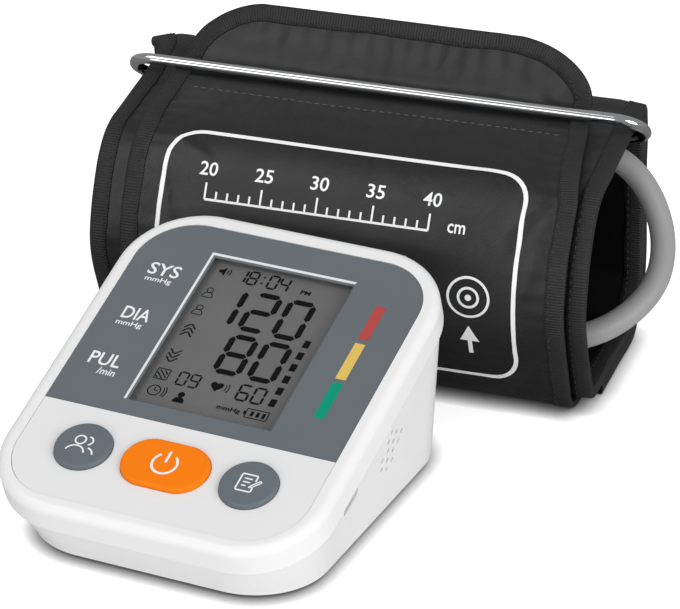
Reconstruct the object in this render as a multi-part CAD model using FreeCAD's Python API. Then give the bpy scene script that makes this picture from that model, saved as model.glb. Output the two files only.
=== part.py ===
import FreeCAD, Part
import math
import os

# Upper-arm blood pressure monitor: a wedge-shaped desk unit with a sloping display and three
# buttons, and its rolled-up arm cuff standing on its side behind it.
# Millimetres. +Z is up, the unit faces -Y, and the origin is under the middle of the whole
# object, cuff included, on the surface it stands on.

Vec = FreeCAD.Vector

# ---------------------------------------------------------------- where the two halves stand
CASE_X = 5.82           # middle of the desk unit
CASE_Y = -71.43         # the line where the two front panels meet, seen from above
CUFF_X = 81.12          # right end of the cuff, where its front edge meets the table
CUFF_Y = 50.97
CUFF_TURN = 7.0         # the cuff stands a little askew, in degrees

# ---------------------------------------------------------------- desk unit: outer form
TILT = 20.0             # slope of the front
SLOPE_H = 34.8          # height of the sloping face at the joint of its panels
CASE_W = 101.4          # width over the upper case
CASE_FRONT = 39.0       # panel joint to the lower edge, along the slope
CASE_BACK = 81.5        # panel joint to the upper edge, along the slope
CASE_R = 24.0           # round of the four corners
EDGE_R = 2.8            # rounding between the face and the side
BAND = 9.0              # side height of the upper case
STEP_IN = 0.9           # the lower case sits this far in at the joint
BASE_W = 90.0           # the lower case narrows to this at the table
BASE_FRONT = 26.0       # base outline, forward of the panel joint
BASE_BACK = 84.5        # and behind it
BASE_R = 22.0
BASE_EDGE = 1.2         # rounding round the base
WALL = 2.0              # moulded wall
FOOT_H = 1.2            # rubber feet below the base
LIP_H = 1.8             # tongue of the lower case inside the upper one
LIP_T = 1.0
FIT = 0.15              # gap between moulded pieces that go together
MERGE = 0.2             # pieces of one moulding overlap by this before they are joined
OVER = 1.0              # a cutter stands out this far from what it cuts
TALL = 90.0             # more than the height of the unit

# ---------------------------------------------------------------- desk unit: front
PANEL_W = 91.5          # the two inlaid panels together
PANEL_FRONT = 34.4
PANEL_BACK = 75.7
PANEL_R = 17.2
RECESS = 1.5            # depth of their bed
PANEL_SINK = 0.2        # they lie this far below the rim
PANEL_GAP = 0.1         # half the joint between them
DECK = 1.8              # plate of the upper case below the panels
WINDOW_W = 44.6         # sight window
WINDOW_V = (6.4, 65.0)
WINDOW_BEVEL = 0.9
LENS_LEDGE = 1.8        # the clear lens reaches this far under the panel
LENS_T = 1.2
GLASS_MARGIN = 3.2      # display glass beyond the window
GLASS_T = 2.6
HOLDER_T = 2.0          # wall of the tray that holds the glass
HOLDER_H = 6.0
HOLDER_LIP = 3.4        # inner ledge that the glass lies on
BUTTON_V = -15.0        # line of the buttons
BUTTON_PITCH = 25.8
BUTTON_R = 8.5
POWER_HALF = 4.8        # half the straight stretch of the power button
BUTTON_RISE = 1.2
BUTTON_SLIT = 0.15
BUTTON_ROUND = 1.0
TRAVEL = 0.8
FLANGE = 1.2            # stop flange round a button, width and thickness
FLANGE_GAP = 0.05

# ---------------------------------------------------------------- desk unit: inside
BOARD_N = 14.8          # board's upper face below the slope
BOARD_T = 1.6
BOARD_IN = 8.7          # its sides, in from the widest place of the case
BOARD_HALF = CASE_W / 2 - BOARD_IN
BOARD_ROUND = 13.0      # its front corners
BOARD_V = (-30.0, 51.0)
BOARD_NOTCH_V = (10.0, 46.0)
BOARD_NOTCH = 8.0       # cut this deep into the right edge, for the speaker
BOARD_POSTS = ((7.0 - BOARD_HALF, -25.0), (BOARD_HALF - 7.0, -25.0),
               (5.0 - BOARD_HALF, 46.0), (BOARD_HALF - 10.4, 48.2))
BOARD_POST_R = 2.6
BOARD_SCREW_R = 0.9
BOARD_HOLE_R = 1.1
BOARD_HEAD_R = 2.0
BOARD_HEAD_H = 1.2
BOARD_SCREW_L = 6.0
PILOT_DEEPER = 0.6      # a screw's hole goes on this far past its tip
# Chips and capacitors: across, up the slope, width, depth, height.
CHIPS = ((9.0 - BOARD_HALF, 24.0, 9.0, 9.0, 1.6), (9.0 - BOARD_HALF, 12.0, 5.0, 4.0, 1.4),
         (BOARD_HALF - 10.5, 4.0, 5.0, 6.0, 2.6), (8.0 - BOARD_HALF, 35.0, 4.0, 6.0, 3.0),
         (14.0, -26.0, 6.0, 4.0, 1.5), (-12.0, -26.0, 5.0, 3.5, 2.0))
GLASS_DROP = 0.1        # display glass below the deck
GLASS_PLAY = 0.1        # and inside its tray
LEG_R = 1.6
LEG_IN = (4.0, 5.0)     # tray's legs, from the window's lower and the board's upper edge
STRIP_HALF = 18.0       # rubber contact strip between glass and board
STRIP_V = (3.8, 5.6)
STRIP_PLAY = 0.3
SWITCH = 6.0            # tactile switch, side of its square body
SWITCH_H = 3.8
PLUNGER_R = 1.7
PLUNGER_UP = 2.5
PLUNGER_IN = 1.2
PLUNGER_ROOM = 0.2
STEM_R = 2.2
RUN_GAP = 0.05          # running clearance
SCREW_R = 1.25
SCREW_PLAY = 0.2
SCREW_HEAD_R = 2.4
SCREW_HEAD_H = 1.6
HEAD_PLAY = 0.3
SCREW_LEN = 12.0        # from under the middle of the head's rim
SCREW_SUNK = 0.5
SCREW_GRIP = 6.0        # height of post above a screw's head
POST_IN = (16.7, 13.7)  # front and back screw posts, in from the widest place
POST_Y = (1.0, CASE_BACK - 14.0)
CASE_POSTS = tuple((side * (CASE_W / 2 - inward), y)
                   for inward, y in zip(POST_IN, POST_Y) for side in (-1, 1))
CASE_POST_R = 3.7
POST_PLAY = 0.8         # between a screw post and the board
FOOT_IN = (14.0, 13.0)  # front and back feet, in from the sides of the base
FOOT_Y = (18.0 - BASE_FRONT, BASE_BACK - 9.5)
FEET = tuple((side * (BASE_W / 2 - inward), y)
             for inward, y in zip(FOOT_IN, FOOT_Y) for side in (-1, 1))
FOOT_R = 4.0
FOOT_SEAT = 0.8
FOOT_PLAY = 0.02
SOFT_EDGE = 0.5         # small rounding of feet, cells and socket

CELL_R = 7.1            # AA cell
CELL_L = 49.2
CELL_NUB_R = 2.75
CELL_NUB = 1.2
CELL_COUNT = 4
CELL_GAP = 0.5
CELL_LIFT = 0.3         # cells above the floor of their bay
CELL_ROOM = 0.8         # height of the bay beyond a cell
CONTACT_T = 0.5
CONTACT_HALF = (5.0, 5.5)
SPRING_L = 4.6          # battery spring, pressed by its cell
SPRING_R = (4.2, 2.6)
SPRING_WIRE = 0.6
BAY_HALF = (CELL_L + CELL_NUB + SPRING_L) / 2 + CONTACT_T       # battery bay
BAY_FRONT = 11.0
BAY_WALL = 1.5
DOOR_SIDE = 1.2         # door opening inside the bay's end walls
DOOR_HALF = BAY_HALF - DOOR_SIDE
DOOR_IN = 1.0           # and inside its front and back walls
DOOR_GAP = 0.2
TAB_X = 15.0
TAB_W = 8.0
TAB_OUT = 2.4
TAB_T = 1.2
TAB_LIFT = 0.15         # tabs above the floor of the bay
TAB_ROOT = (0.6, 1.8)   # their roots, behind the door's front edge
TAB_ROOM = 0.4
FINGER_W = 14.0
FINGER_L = 8.0
FINGER_SLIT = 1.0
GRIP_IN = 2.0           # finger grooves: from the latch's sides, width, depth and places
GRIP_W = 0.8
GRIP_T = 0.4
GRIP_BACK = (6.5, 4.5, 2.5)

SOCKET_YZ = (43.0, 26.6)
SOCKET_SINK = 0.4
SOCKET_FACE = STEP_IN + SOCKET_SINK - CASE_W / 2
SOCKET_R = 4.6
SOCKET_FLANGE_R = 6.2
SOCKET_FLANGE_T = 1.4
AIR_BORE_R = 2.6        # bore that takes the hose plug
AIR_BORE_L = 9.0
AIR_HOLE_R = 1.0
SOCKET_END = 0.8        # wall behind the bore
TUBE_R = 1.9            # soft tubes inside
TUBE_WALL = 0.55
TUBE_PLAY = 0.2
NIPPLE_R = TUBE_R - TUBE_WALL - RUN_GAP
NIPPLE_L = 2.4
NIPPLE_ROOT = 1.0       # a nipple starts this far inside its body
MANIFOLD_X = SOCKET_FACE + AIR_BORE_L + SOCKET_END
MANIFOLD_L = 5.6
MANIFOLD_HALF = (5.5, 4.1)
MANIFOLD_ROUND = 1.2
MANIFOLD = ((MANIFOLD_X, MANIFOLD_X + MANIFOLD_L),
            (SOCKET_YZ[0] - MANIFOLD_HALF[0], SOCKET_YZ[0] + MANIFOLD_HALF[0]),
            (SOCKET_YZ[1] - MANIFOLD_HALF[1], SOCKET_YZ[1] + MANIFOLD_HALF[1]))
MANIFOLD_PORT = (MANIFOLD_X + MANIFOLD_L / 2, 27.0)
PUMP_R = 12.0
PUMP_Y = 66.0
PUMP_LIFT = 0.3         # above the roof of the battery bay
PUMP_IN = 6.8           # its end, from the manifold's port
PUMP_HEAD_L = 18.0
PUMP_HEAD = (MANIFOLD_PORT[0] + PUMP_IN, MANIFOLD_PORT[0] + PUMP_IN + PUMP_HEAD_L)
PUMP_GROOVE_X = 6.0     # joint between the pump's two halves: place, width, depth
PUMP_GROOVE_W = 1.0
PUMP_GROOVE_T = 0.8
PUMP_FIT = 0.1
PUMP_CLEAR = 9.0        # its bed is open this far past both ends
MOTOR_L = 32.0
MOTOR_END = PUMP_HEAD[1] + MOTOR_L
MOTOR_ROUND = 1.0
MOTOR_BOSS_R = 3.2
MOTOR_BOSS = 1.6
SADDLE_IN = 6.0         # saddles under the pump: from its ends, thickness, sides, height
SADDLE_T = 2.4
SADDLE_SIDE = 1.5
SADDLE_LOW = 4.0
OUTLET = (58.5, 27.0)   # pump outlet: y and z
VALVE_R = 5.0
VALVE_IN = 22.0         # its near end, from the manifold
VALVE_L = 24.0
VALVE_X = (MANIFOLD[0][1] + VALVE_IN, MANIFOLD[0][1] + VALVE_IN + VALVE_L)
VALVE_YZ = (39.0, 25.2)
BRACKET_IN = 4.0
BRACKET_HALF = 6.0
BRACKET_T = 1.0
SENSOR_VN = (41.0, 20.9)
SENSOR_IN = 5.0
SENSOR_L = 8.0
SENSOR_U = (MANIFOLD[0][1] + SENSOR_IN, MANIFOLD[0][1] + SENSOR_IN + SENSOR_L)
SENSOR_HALF = 3.5
SENSOR_UNDER = 1.8

SPEAKER_R = 9.1
SPEAKER_T = 4.5
SPEAKER_IN = 12.7       # its back, in from the widest place
SPEAKER_X = CASE_W / 2 - SPEAKER_IN
SPEAKER_YZ = (31.0, 23.4)
SPEAKER_ROWS = (3, 3, 2, 3, 2)
SPEAKER_ALONG = (4.1, -1.9)     # from hole to hole of a row, back and up
SPEAKER_DOWN = (-1.5, -2.4)     # and from row to row
SPEAKER_HOLE_R = 0.8
SPEAKER_RIM = 1.2
SPEAKER_DISH = (3.0, 1.2)
SPEAKER_SEAT_T = 1.4
SPEAKER_SEAT_IN = 1.0
SPEAKER_ROOM = 0.3
MAGNET_R = 5.0
MAGNET_T = 2.0
USB_VN = (-2.0, 13.2)
USB_SIZE = (9.0, 3.2)
USB_LEN = 7.4
USB_SINK = 2.8
USB_MOUTH = CASE_W / 2 - USB_SINK
USB_SHELL = 0.35
USB_PLAY = 0.2
USB_TONGUE_T = 0.7
USB_TONGUE_IN = 1.4     # tongue, from the sides of the shell
USB_TONGUE_SHORT = 1.0  # and from its mouth
USB_BACK = 1.0          # closed end of the shell

# ---------------------------------------------------------------- cuff
CUFF_W = 155.0
STRIP_T = 2.4           # strip: face fabric, air bag and lining together
FABRIC_T = 0.8
LAYER_GAP = 0.1
ROLL_GAP = 1.2          # between the two turns of the roll
FOLD_R = 1.0            # least radius inside a fold
BAG_IN = (12.0, 12.0)   # the air bag stays this far from both ends
# Corners of the roll's outer face, as (back, up), from the tip of the flap down the front,
# along the table and up the back, with the radius of each.
FLAP_TIP = (45.3, 96.8)
ROLL = [((35.0, 79.8), 8.0), ((-11.7, 75.0), 24.0), ((-27.7, 42.0), 36.0), ((-9.5, 0.0), 12.0)]
SEAM = (6.0, 0.0)       # where the narrower printed panel is sewn to the full-width strip
BACK = [((46.0, 0.0), 9.0), ((58.5, 14.0), 12.0), ((51.5, 79.0), 4.2)]
ROLL_END = 42.7         # the strip's inner end, measured back
PANEL_LEFT = 139.0      # printed panel, from the right end of the cuff
PANEL_RIGHT = 5.5
FLAP_LEFT = ((139.6, 37.5), (132.5, 43.0), (116.0, 45.5))
FLAP_RIGHT = ((14.0, 35.5), (21.0, 41.8), (38.0, 45.0))
FLAP_SHIFT = (0.0, 0.4, 0.55)   # an inner outline lies this share of the tape's width lower
FLAP_BACK = 60.0        # behind the flap
FLAP_ROOM = 30.0        # past its sides
FLAP_LOW = 1.5          # the flap's corners start this far below the roll's top front corner
FLAP_TOP = 120.0
TAPE_W = 7.0            # edge binding
TAPE_T = 0.4
HOOK_T = 1.0
HOOK_END = -4.0         # the hook patch ends here at the front

WIRE_R = 1.7            # closing ring
RING_TOP = (27.5, 81.4)
RING_PIVOT = (39.6, 70.4)
RING_OUT = (4.8, 3.9)   # middle of the wire past the cuff's left and right end
KEEPER_T = 1.3
KEEPER_IN = 8.0         # the keeper stops short of each end
KEEPER_LOW = 0.2        # its tail ends below the strip it is sewn to

# ---------------------------------------------------------------- air hose, plug and hank
HOSE_R = 3.8
BEND_SHARE = 0.45       # an arc takes this share of the shorter of its two runs
ELBOW_S = -42.0
ELBOW_R = 4.4
ELBOW_COLLAR = 0.4
ELBOW_FLANGE = (6.2, 1.2)
# Hose route in the cuff's own frame: along the cuff from its right end, back, up.
HOSE_ROUTE = [
    (-27.9, 31.0, 68.1),
    (-10.9, 32.0, 70.3),
    (4.4, 31.1, 62.3),
    (13.9, 25.1, 45.6),
    (13.8, 9.6, 32.8),
    (-2.4, -7.5, 23.6),
    (-30.4, -6.7, 22.0),
    (-55.0, 0.35, 19.25),
    (-76.0, 0.35, 19.25),
]
HANK_FRONT = (1.9, 11.3)    # lower turn, run along the front
HANK_BACK = (46.9, 20.1)    # and along the back
HANK_S = (-126.0, -76.0)    # ends of its straight runs
HANK_PILE = 8.1             # the upper turn lies this far above the lower
HANK_ROUND = 3.3
PLUG_S = (-105.0, -79.0)    # the plug lies in line with the lower turn
PLUG_R = 4.15
PLUG_GRIP = 14.0
PLUG_ROUND = 0.6
PLUG_GROOVES = (3.0, 5.2, 7.4)
PLUG_GROOVE_W = 0.8
PLUG_GROOVE_T = 0.4
NOSE_R = 2.55
NOSE_BEVEL = 0.5
TIE_S = (-100.0, -94.0)
TIE_T = 0.5
TIE_SLACK = 0.1


# ---------------------------------------------------------------- small helpers
def box(x, y, z):
    """Block between pairs of limits."""
    return Part.makeBox(x[1] - x[0], y[1] - y[0], z[1] - z[0], Vec(x[0], y[0], z[0]))


def rod(radius, start, end):
    """Round bar from one point to another."""
    start, end = Vec(*start), Vec(*end)
    return Part.makeCylinder(radius, (end - start).Length, start, end - start)


def joined(shapes):
    """One solid from pieces that meet."""
    shapes = list(shapes)
    return shapes[0].multiFuse(shapes[1:]).removeSplitter() if len(shapes) > 1 else shapes[0]


def group(shapes):
    """Separate solids kept together in one node."""
    return Part.makeCompound(list(shapes))


def outline(half, low, high, radius, level=0.0):
    """Closed wire of a rectangle with round corners."""
    centres = ((half - radius, high - radius), (radius - half, high - radius),
               (radius - half, low + radius), (half - radius, low + radius))
    arcs = []
    for quarter, (cx, cy) in enumerate(centres):
        turns = [math.radians(90 * quarter + step) for step in (0, 45, 90)]
        arcs.append([Vec(cx + radius * math.cos(a), cy + radius * math.sin(a), level)
                     for a in turns])
    edges = []
    for here, after in zip(arcs, arcs[1:] + arcs[:1]):
        edges.append(Part.Arc(*here).toShape())
        edges.append(Part.LineSegment(here[2], after[0]).toShape())
    return Part.Wire(edges)


def slab(half, low, high, radius, bottom, top):
    """Plate with round corners between two levels."""
    face = Part.Face(outline(half, low, high, radius, bottom))
    return face.extrude(Vec(0, 0, top - bottom))


def edges_at(shape, level):
    """Edges that lie wholly at one height."""
    return [e for e in shape.Edges
            if abs(e.BoundBox.ZMin - level) < 1e-4 and abs(e.BoundBox.ZMax - level) < 1e-4]


def upright_edges(shape, height):
    """Edges that stand upright over a height."""
    return [e for e in shape.Edges if abs(e.BoundBox.ZLength - height) < 1e-4]


def end_edges(shape):
    """Edges that lie square to X."""
    return [e for e in shape.Edges if e.BoundBox.XLength < 1e-4]


SLOPE = FreeCAD.Placement(Vec(0, 0, SLOPE_H), FreeCAD.Rotation(Vec(1, 0, 0), TILT))
UNIT = FreeCAD.Placement(Vec(CASE_X, CASE_Y, 0), FreeCAD.Rotation())
CUFF = FreeCAD.Placement(Vec(CUFF_X, CUFF_Y, TAPE_T), FreeCAD.Rotation(Vec(0, 0, 1), CUFF_TURN))
COS, SIN = math.cos(math.radians(TILT)), math.sin(math.radians(TILT))


def put(shape, placement):
    """Shape moved by a placement."""
    return shape.transformed(placement.toMatrix(), True)


def on_slope(shape):
    """From the slope's frame (across, up the slope, out of it) to the unit's."""
    return put(shape, SLOPE)


def slope_z(y, n):
    """Height, at a place y, of the plane that lies n out of the slope."""
    return SLOPE_H + y * SIN / COS + n / COS


# ---------------------------------------------------------------- casings
def lower_form(inset, floor, rounded):
    """Wedge from the slanting joint down to the base, drawn in by inset."""
    top = on_slope(outline(CASE_W / 2 - STEP_IN - inset, STEP_IN + inset - CASE_FRONT,
                           CASE_BACK - STEP_IN - inset, CASE_R - STEP_IN - inset, -BAND))
    rings = [top]
    for step in (0, 30, 60, 90) if rounded else (90,):
        a = math.radians(step)
        more = inset + (BASE_EDGE * (1 - math.cos(a)) if rounded else 0.0)
        level = floor + BASE_EDGE * (1 - math.sin(a))
        rings.append(outline(BASE_W / 2 - more, more - BASE_FRONT, BASE_BACK - more,
                             BASE_R - more, level))
    return Part.makeLoft(rings, True, True)


def bay_limits():
    """Inner limits of the battery bay: x, y and z."""
    depth = CELL_COUNT * (2 * CELL_R + CELL_GAP)
    floor = FOOT_H + WALL
    return ((-BAY_HALF, BAY_HALF), (BAY_FRONT, BAY_FRONT + depth),
            (floor, floor + 2 * CELL_R + CELL_ROOM))


def grown(limits, amount):
    """Limits moved outward by an amount."""
    return tuple((low - amount, high + amount) for low, high in limits)


def pump_axis_z():
    """The pump lies on the roof of the battery bay."""
    return bay_limits()[2][1] + BAY_WALL + PUMP_R + PUMP_LIFT


def lower_case():
    """Wedge-shaped tub with battery bay, screw posts, cradle, sockets and speaker seat."""
    outer = lower_form(0.0, FOOT_H, True)
    shell = outer.cut(lower_form(WALL, FOOT_H + WALL, False))
    bay = bay_limits()
    solids = [shell, box(*grown(bay, BAY_WALL))]
    for x, y in CASE_POSTS:
        solids.append(rod(CASE_POST_R, (x, y, FOOT_H), (x, y, TALL)).common(outer))
    side = PUMP_R + SADDLE_SIDE
    for x in (PUMP_HEAD[0] + SADDLE_IN, MOTOR_END - SADDLE_IN):
        saddle = box((x - SADDLE_T / 2, x + SADDLE_T / 2), (PUMP_Y - side, PUMP_Y + side),
                     (bay[2][1], pump_axis_z() - SADDLE_LOW))
        solids.append(saddle.common(outer))
    sy, sz = SPEAKER_YZ
    seat = rod(SPEAKER_R + FIT + SPEAKER_SEAT_T, (SPEAKER_X + SPEAKER_SEAT_IN, sy, sz),
               (CASE_W, sy, sz))
    solids.append(seat.common(outer))
    tongue = slab(CASE_W / 2 - WALL - FIT, WALL + FIT - CASE_FRONT, CASE_BACK - WALL - FIT,
                  CASE_R - WALL - FIT, -BAND - LIP_H, -BAND + LIP_H)
    tongue = tongue.cut(slab(CASE_W / 2 - WALL - FIT - LIP_T, WALL + FIT + LIP_T - CASE_FRONT,
                             CASE_BACK - WALL - FIT - LIP_T, CASE_R - WALL - FIT - LIP_T,
                             -BAND - 2 * LIP_H, 0.0))
    solids.append(on_slope(tongue))
    body = joined(solids)
    return body.cut(group(lower_case_cuts(bay)))


def lower_case_cuts(bay):
    """Everything that is open in the lower case."""
    cuts = [box(*bay), door_hole(bay)]
    for side in (-1, 1):
        x = side * TAB_X
        cuts.append(box((x - TAB_W / 2 - TAB_ROOM, x + TAB_W / 2 + TAB_ROOM),
                        (bay[1][0] - BAY_WALL - OVER, bay[1][0] + MERGE),
                        (FOOT_H + WALL, FOOT_H + WALL + TAB_OUT + TAB_T + TAB_ROOM)))
    for x, y in CASE_POSTS:
        joint = slope_z(y, -BAND)
        cuts.append(rod(SCREW_R + SCREW_PLAY, (x, y, 0), (x, y, joint + SCREW_LEN)))
        cuts.append(rod(SCREW_HEAD_R + HEAD_PLAY, (x, y, 0), (x, y, joint - SCREW_GRIP)))
    for x, y in FEET:
        cuts.append(rod(FOOT_R, (x, y, 0), (x, y, FOOT_H + FOOT_SEAT)))
    z = pump_axis_z()
    cuts.append(rod(PUMP_R + PUMP_FIT, (PUMP_HEAD[0] - PUMP_CLEAR, PUMP_Y, z),
                    (MOTOR_END + PUMP_CLEAR, PUMP_Y, z)))
    sy, sz = SPEAKER_YZ
    cuts.append(rod(SPEAKER_R + FIT, (SPEAKER_X, sy, sz),
                    (SPEAKER_X + SPEAKER_T + SPEAKER_ROOM, sy, sz)))
    cuts += [rod(SPEAKER_HOLE_R, (SPEAKER_X, y, z), (CASE_W, y, z)) for y, z in speaker_holes()]
    ay, az = SOCKET_YZ
    cuts.append(rod(SOCKET_R, (-CASE_W, ay, az), (MANIFOLD[0][0], ay, az)))
    cuts.append(rod(SOCKET_FLANGE_R, (-CASE_W, ay, az), (SOCKET_FACE + SOCKET_FLANGE_T, ay, az)))
    v, n = USB_VN
    slot = slab(USB_SIZE[1] / 2 + USB_PLAY, -USB_SIZE[0] / 2 - USB_PLAY,
                USB_SIZE[0] / 2 + USB_PLAY, USB_SIZE[1] / 2, 0.0, BOARD_HALF)
    cuts.append(on_slope(usb_place(slot, BOARD_HALF + OVER)))
    return cuts


def door_hole(bay):
    """Opening of the battery bay in the base."""
    return box((-DOOR_HALF, DOOR_HALF), (bay[1][0] + DOOR_IN, bay[1][1] - DOOR_IN),
               (0, FOOT_H + WALL + MERGE))


def speaker_holes():
    """Staggered rows of small round holes in the right side."""
    spots = []
    for row, count in enumerate(SPEAKER_ROWS):
        down = row - (len(SPEAKER_ROWS) - 1) / 2
        for k in range(count):
            along = k - (count - 1) / 2
            spots.append(tuple(middle + along * step + down * lower for middle, step, lower
                               in zip(SPEAKER_YZ, SPEAKER_ALONG, SPEAKER_DOWN)))
    return spots


def upper_case():
    """Shallow cover with the bed for the panels, the window and the button holes."""
    body = slab(CASE_W / 2, -CASE_FRONT, CASE_BACK, CASE_R, -BAND, 0.0)
    body = body.makeFillet(EDGE_R, edges_at(body, 0.0))
    deck_low = -RECESS - DECK
    body = body.cut(slab(CASE_W / 2 - WALL, WALL - CASE_FRONT, CASE_BACK - WALL, CASE_R - WALL,
                         -BAND - OVER, deck_low))
    room = slab(CASE_W / 2 - WALL / 2, WALL / 2 - CASE_FRONT, CASE_BACK - WALL / 2,
                CASE_R - WALL / 2, -BAND, deck_low)
    bosses = [rod(CASE_POST_R, (x, y, 0), (x, y, TALL)).common(on_slope(room))
              for x, y in CASE_POSTS]
    posts = [rod(BOARD_POST_R, (u, v, -BOARD_N), (u, v, deck_low + MERGE)) for u, v in BOARD_POSTS]
    body = joined([on_slope(body)] + bosses + [on_slope(post) for post in posts])
    cuts = [on_slope(slab(PANEL_W / 2, -PANEL_FRONT, PANEL_BACK, PANEL_R, -RECESS, OVER)),
            on_slope(window_block(LENS_LEDGE + FIT, deck_low - OVER, 0.0))]
    cuts += [on_slope(button_block(k, BUTTON_SLIT, deck_low - OVER, 0.0)) for k in range(3)]
    for x, y in CASE_POSTS:
        joint = slope_z(y, -BAND)
        cuts.append(rod(SCREW_R + RUN_GAP, (x, y, joint - SCREW_GRIP),
                        (x, y, joint - SCREW_GRIP + SCREW_LEN)))
    tip = BOARD_SCREW_L - BOARD_T - BOARD_N
    for u, v in BOARD_POSTS:
        cuts.append(on_slope(rod(BOARD_SCREW_R + RUN_GAP, (u, v, -BOARD_N - OVER),
                                 (u, v, tip + PILOT_DEEPER))))
    return body.cut(group(cuts))


def window_block(margin, low, high):
    """Block over the sight window, larger by a margin."""
    return box((-WINDOW_W / 2 - margin, WINDOW_W / 2 + margin),
               (WINDOW_V[0] - margin, WINDOW_V[1] + margin), (low, high))


def button_block(index, margin, low, high):
    """Round button 0 or 2, or the long power button 1, larger by a margin."""
    radius = BUTTON_R + margin
    half = POWER_HALF if index == 1 else 0.0
    u = (index - 1) * BUTTON_PITCH
    if half == 0.0:
        return rod(radius, (u, BUTTON_V, low), (u, BUTTON_V, high))
    ends = [rod(radius, (u + s * half, BUTTON_V, low), (u + s * half, BUTTON_V, high))
            for s in (-1, 1)]
    middle = box((u - half, u + half), (BUTTON_V - radius, BUTTON_V + radius), (low, high))
    return joined(ends + [middle])


# ---------------------------------------------------------------- front pieces
def panel_half(upper):
    """The inlaid panel above or below the joint, before its openings."""
    whole = slab(PANEL_W / 2 - FIT, FIT - PANEL_FRONT, PANEL_BACK - FIT, PANEL_R - FIT,
                 -RECESS, -PANEL_SINK)
    limits = (PANEL_GAP, CASE_BACK) if upper else (-CASE_FRONT, -PANEL_GAP)
    return whole.common(box((-CASE_W, CASE_W), limits, (-BAND, BAND)))


def display_panel():
    """Grey panel round the sight window, whose edges are bevelled."""
    panel = panel_half(True).cut(window_block(0.0, -BAND, BAND))
    u, (v0, v1) = WINDOW_W / 2, WINDOW_V
    inner = [e for e in edges_at(panel, -PANEL_SINK)
             if abs(e.CenterOfMass.x) < u + FIT and v0 - FIT < e.CenterOfMass.y < v1 + FIT]
    return on_slope(panel.makeChamfer(WINDOW_BEVEL, inner))


def button_panel():
    """Pale panel with the three button holes."""
    holes = group(button_block(k, BUTTON_SLIT, -BAND, BAND) for k in range(3))
    return on_slope(panel_half(False).cut(holes))


def lcd_window():
    """Clear lens under the panel, in the opening of the deck."""
    return on_slope(window_block(LENS_LEDGE, -RECESS - LENS_T, -RECESS))


def glass_levels():
    """Lower and upper face of the display glass, out of the slope."""
    top = -RECESS - DECK - GLASS_DROP
    return top - GLASS_T, top


def lcd_glass():
    """Display glass, just below the deck."""
    return on_slope(window_block(GLASS_MARGIN, *glass_levels()))


def strip_block(margin):
    """Block of the contact strip, wider and deeper by a margin."""
    return box((-STRIP_HALF - margin, STRIP_HALF + margin),
               (STRIP_V[0] - margin, STRIP_V[1] + margin), (-BOARD_N, glass_levels()[0]))


def lcd_connector():
    """Rubber contact strip that stands on the board and touches the glass from below."""
    return on_slope(strip_block(0.0))


def lcd_holder():
    """Tray that holds the glass, on four legs that stand on the board."""
    top = -RECESS - DECK - RUN_GAP
    low = top - HOLDER_H
    tray = window_block(GLASS_MARGIN + GLASS_PLAY + HOLDER_T, low, top)
    tray = tray.cut(window_block(GLASS_MARGIN + GLASS_PLAY, glass_levels()[0], BAND))
    tray = tray.cut(window_block(GLASS_MARGIN - HOLDER_LIP, low - OVER, BAND))
    tray = tray.cut(strip_block(STRIP_PLAY))
    u = WINDOW_W / 2 + GLASS_MARGIN
    legs = [rod(LEG_R, (side * u, v, -BOARD_N), (side * u, v, low + MERGE))
            for side in (-1, 1) for v in (WINDOW_V[0] + LEG_IN[0], BOARD_V[1] - LEG_IN[1])]
    return on_slope(joined([tray] + legs))


def button(index):
    """Cap with rounded rim, stop flange and stem."""
    low = -RECESS - DECK - FLANGE_GAP
    cap = button_block(index, 0.0, low - FLANGE / 2, BUTTON_RISE)
    cap = cap.makeFillet(BUTTON_ROUND, edges_at(cap, BUTTON_RISE))
    flange = button_block(index, FLANGE, low - FLANGE, low)
    u = (index - 1) * BUTTON_PITCH
    stem = rod(STEM_R, (u, BUTTON_V, plunger_top()), (u, BUTTON_V, low - FLANGE / 2))
    return on_slope(joined([cap, flange, stem]))


def plunger_top():
    """Level of a switch plunger's upper end."""
    return -BOARD_N + SWITCH_H + PLUNGER_UP


def plunger(index):
    """Plunger of one tactile switch."""
    u = (index - 1) * BUTTON_PITCH
    low = -BOARD_N + SWITCH_H - PLUNGER_IN
    return on_slope(rod(PLUNGER_R, (u, BUTTON_V, low), (u, BUTTON_V, plunger_top())))


def button_switches():
    """Bodies of the three tactile switches, bored for their plungers."""
    bodies = []
    for index in range(3):
        u = (index - 1) * BUTTON_PITCH
        top = -BOARD_N + SWITCH_H
        body = box((u - SWITCH / 2, u + SWITCH / 2),
                   (BUTTON_V - SWITCH / 2, BUTTON_V + SWITCH / 2), (-BOARD_N, top))
        depth = PLUNGER_IN + TRAVEL + PLUNGER_ROOM
        hole = rod(PLUNGER_R + RUN_GAP, (u, BUTTON_V, top - depth), (u, BUTTON_V, top + OVER))
        bodies.append(body.cut(hole))
    return on_slope(group(bodies))


# ---------------------------------------------------------------- electronics
def main_board():
    """Circuit board parallel to the slope, cleared for screw posts, speaker and base."""
    board = box((-BOARD_HALF, BOARD_HALF), BOARD_V, (-BOARD_N - BOARD_T, -BOARD_N))
    front = [e for e in upright_edges(board, BOARD_T) if e.CenterOfMass.y < 0]
    board = board.makeFillet(BOARD_ROUND, front)
    notch = box((BOARD_HALF - BOARD_NOTCH, CASE_W), BOARD_NOTCH_V, (-TALL, 0))
    screws = [rod(BOARD_HOLE_R, (u, v, -TALL), (u, v, 0)) for u, v in BOARD_POSTS]
    board = on_slope(board.cut(group([notch] + screws)))
    posts = [rod(CASE_POST_R + POST_PLAY, (x, y, 0), (x, y, TALL)) for x, y in CASE_POSTS]
    return board.cut(group(posts))


def board_chips():
    """Controller, memory, driver and capacitors on the upper side of the board."""
    return on_slope(group(box((u - w / 2, u + w / 2), (v - d / 2, v + d / 2),
                              (-BOARD_N, h - BOARD_N)) for u, v, w, d, h in CHIPS))


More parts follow.
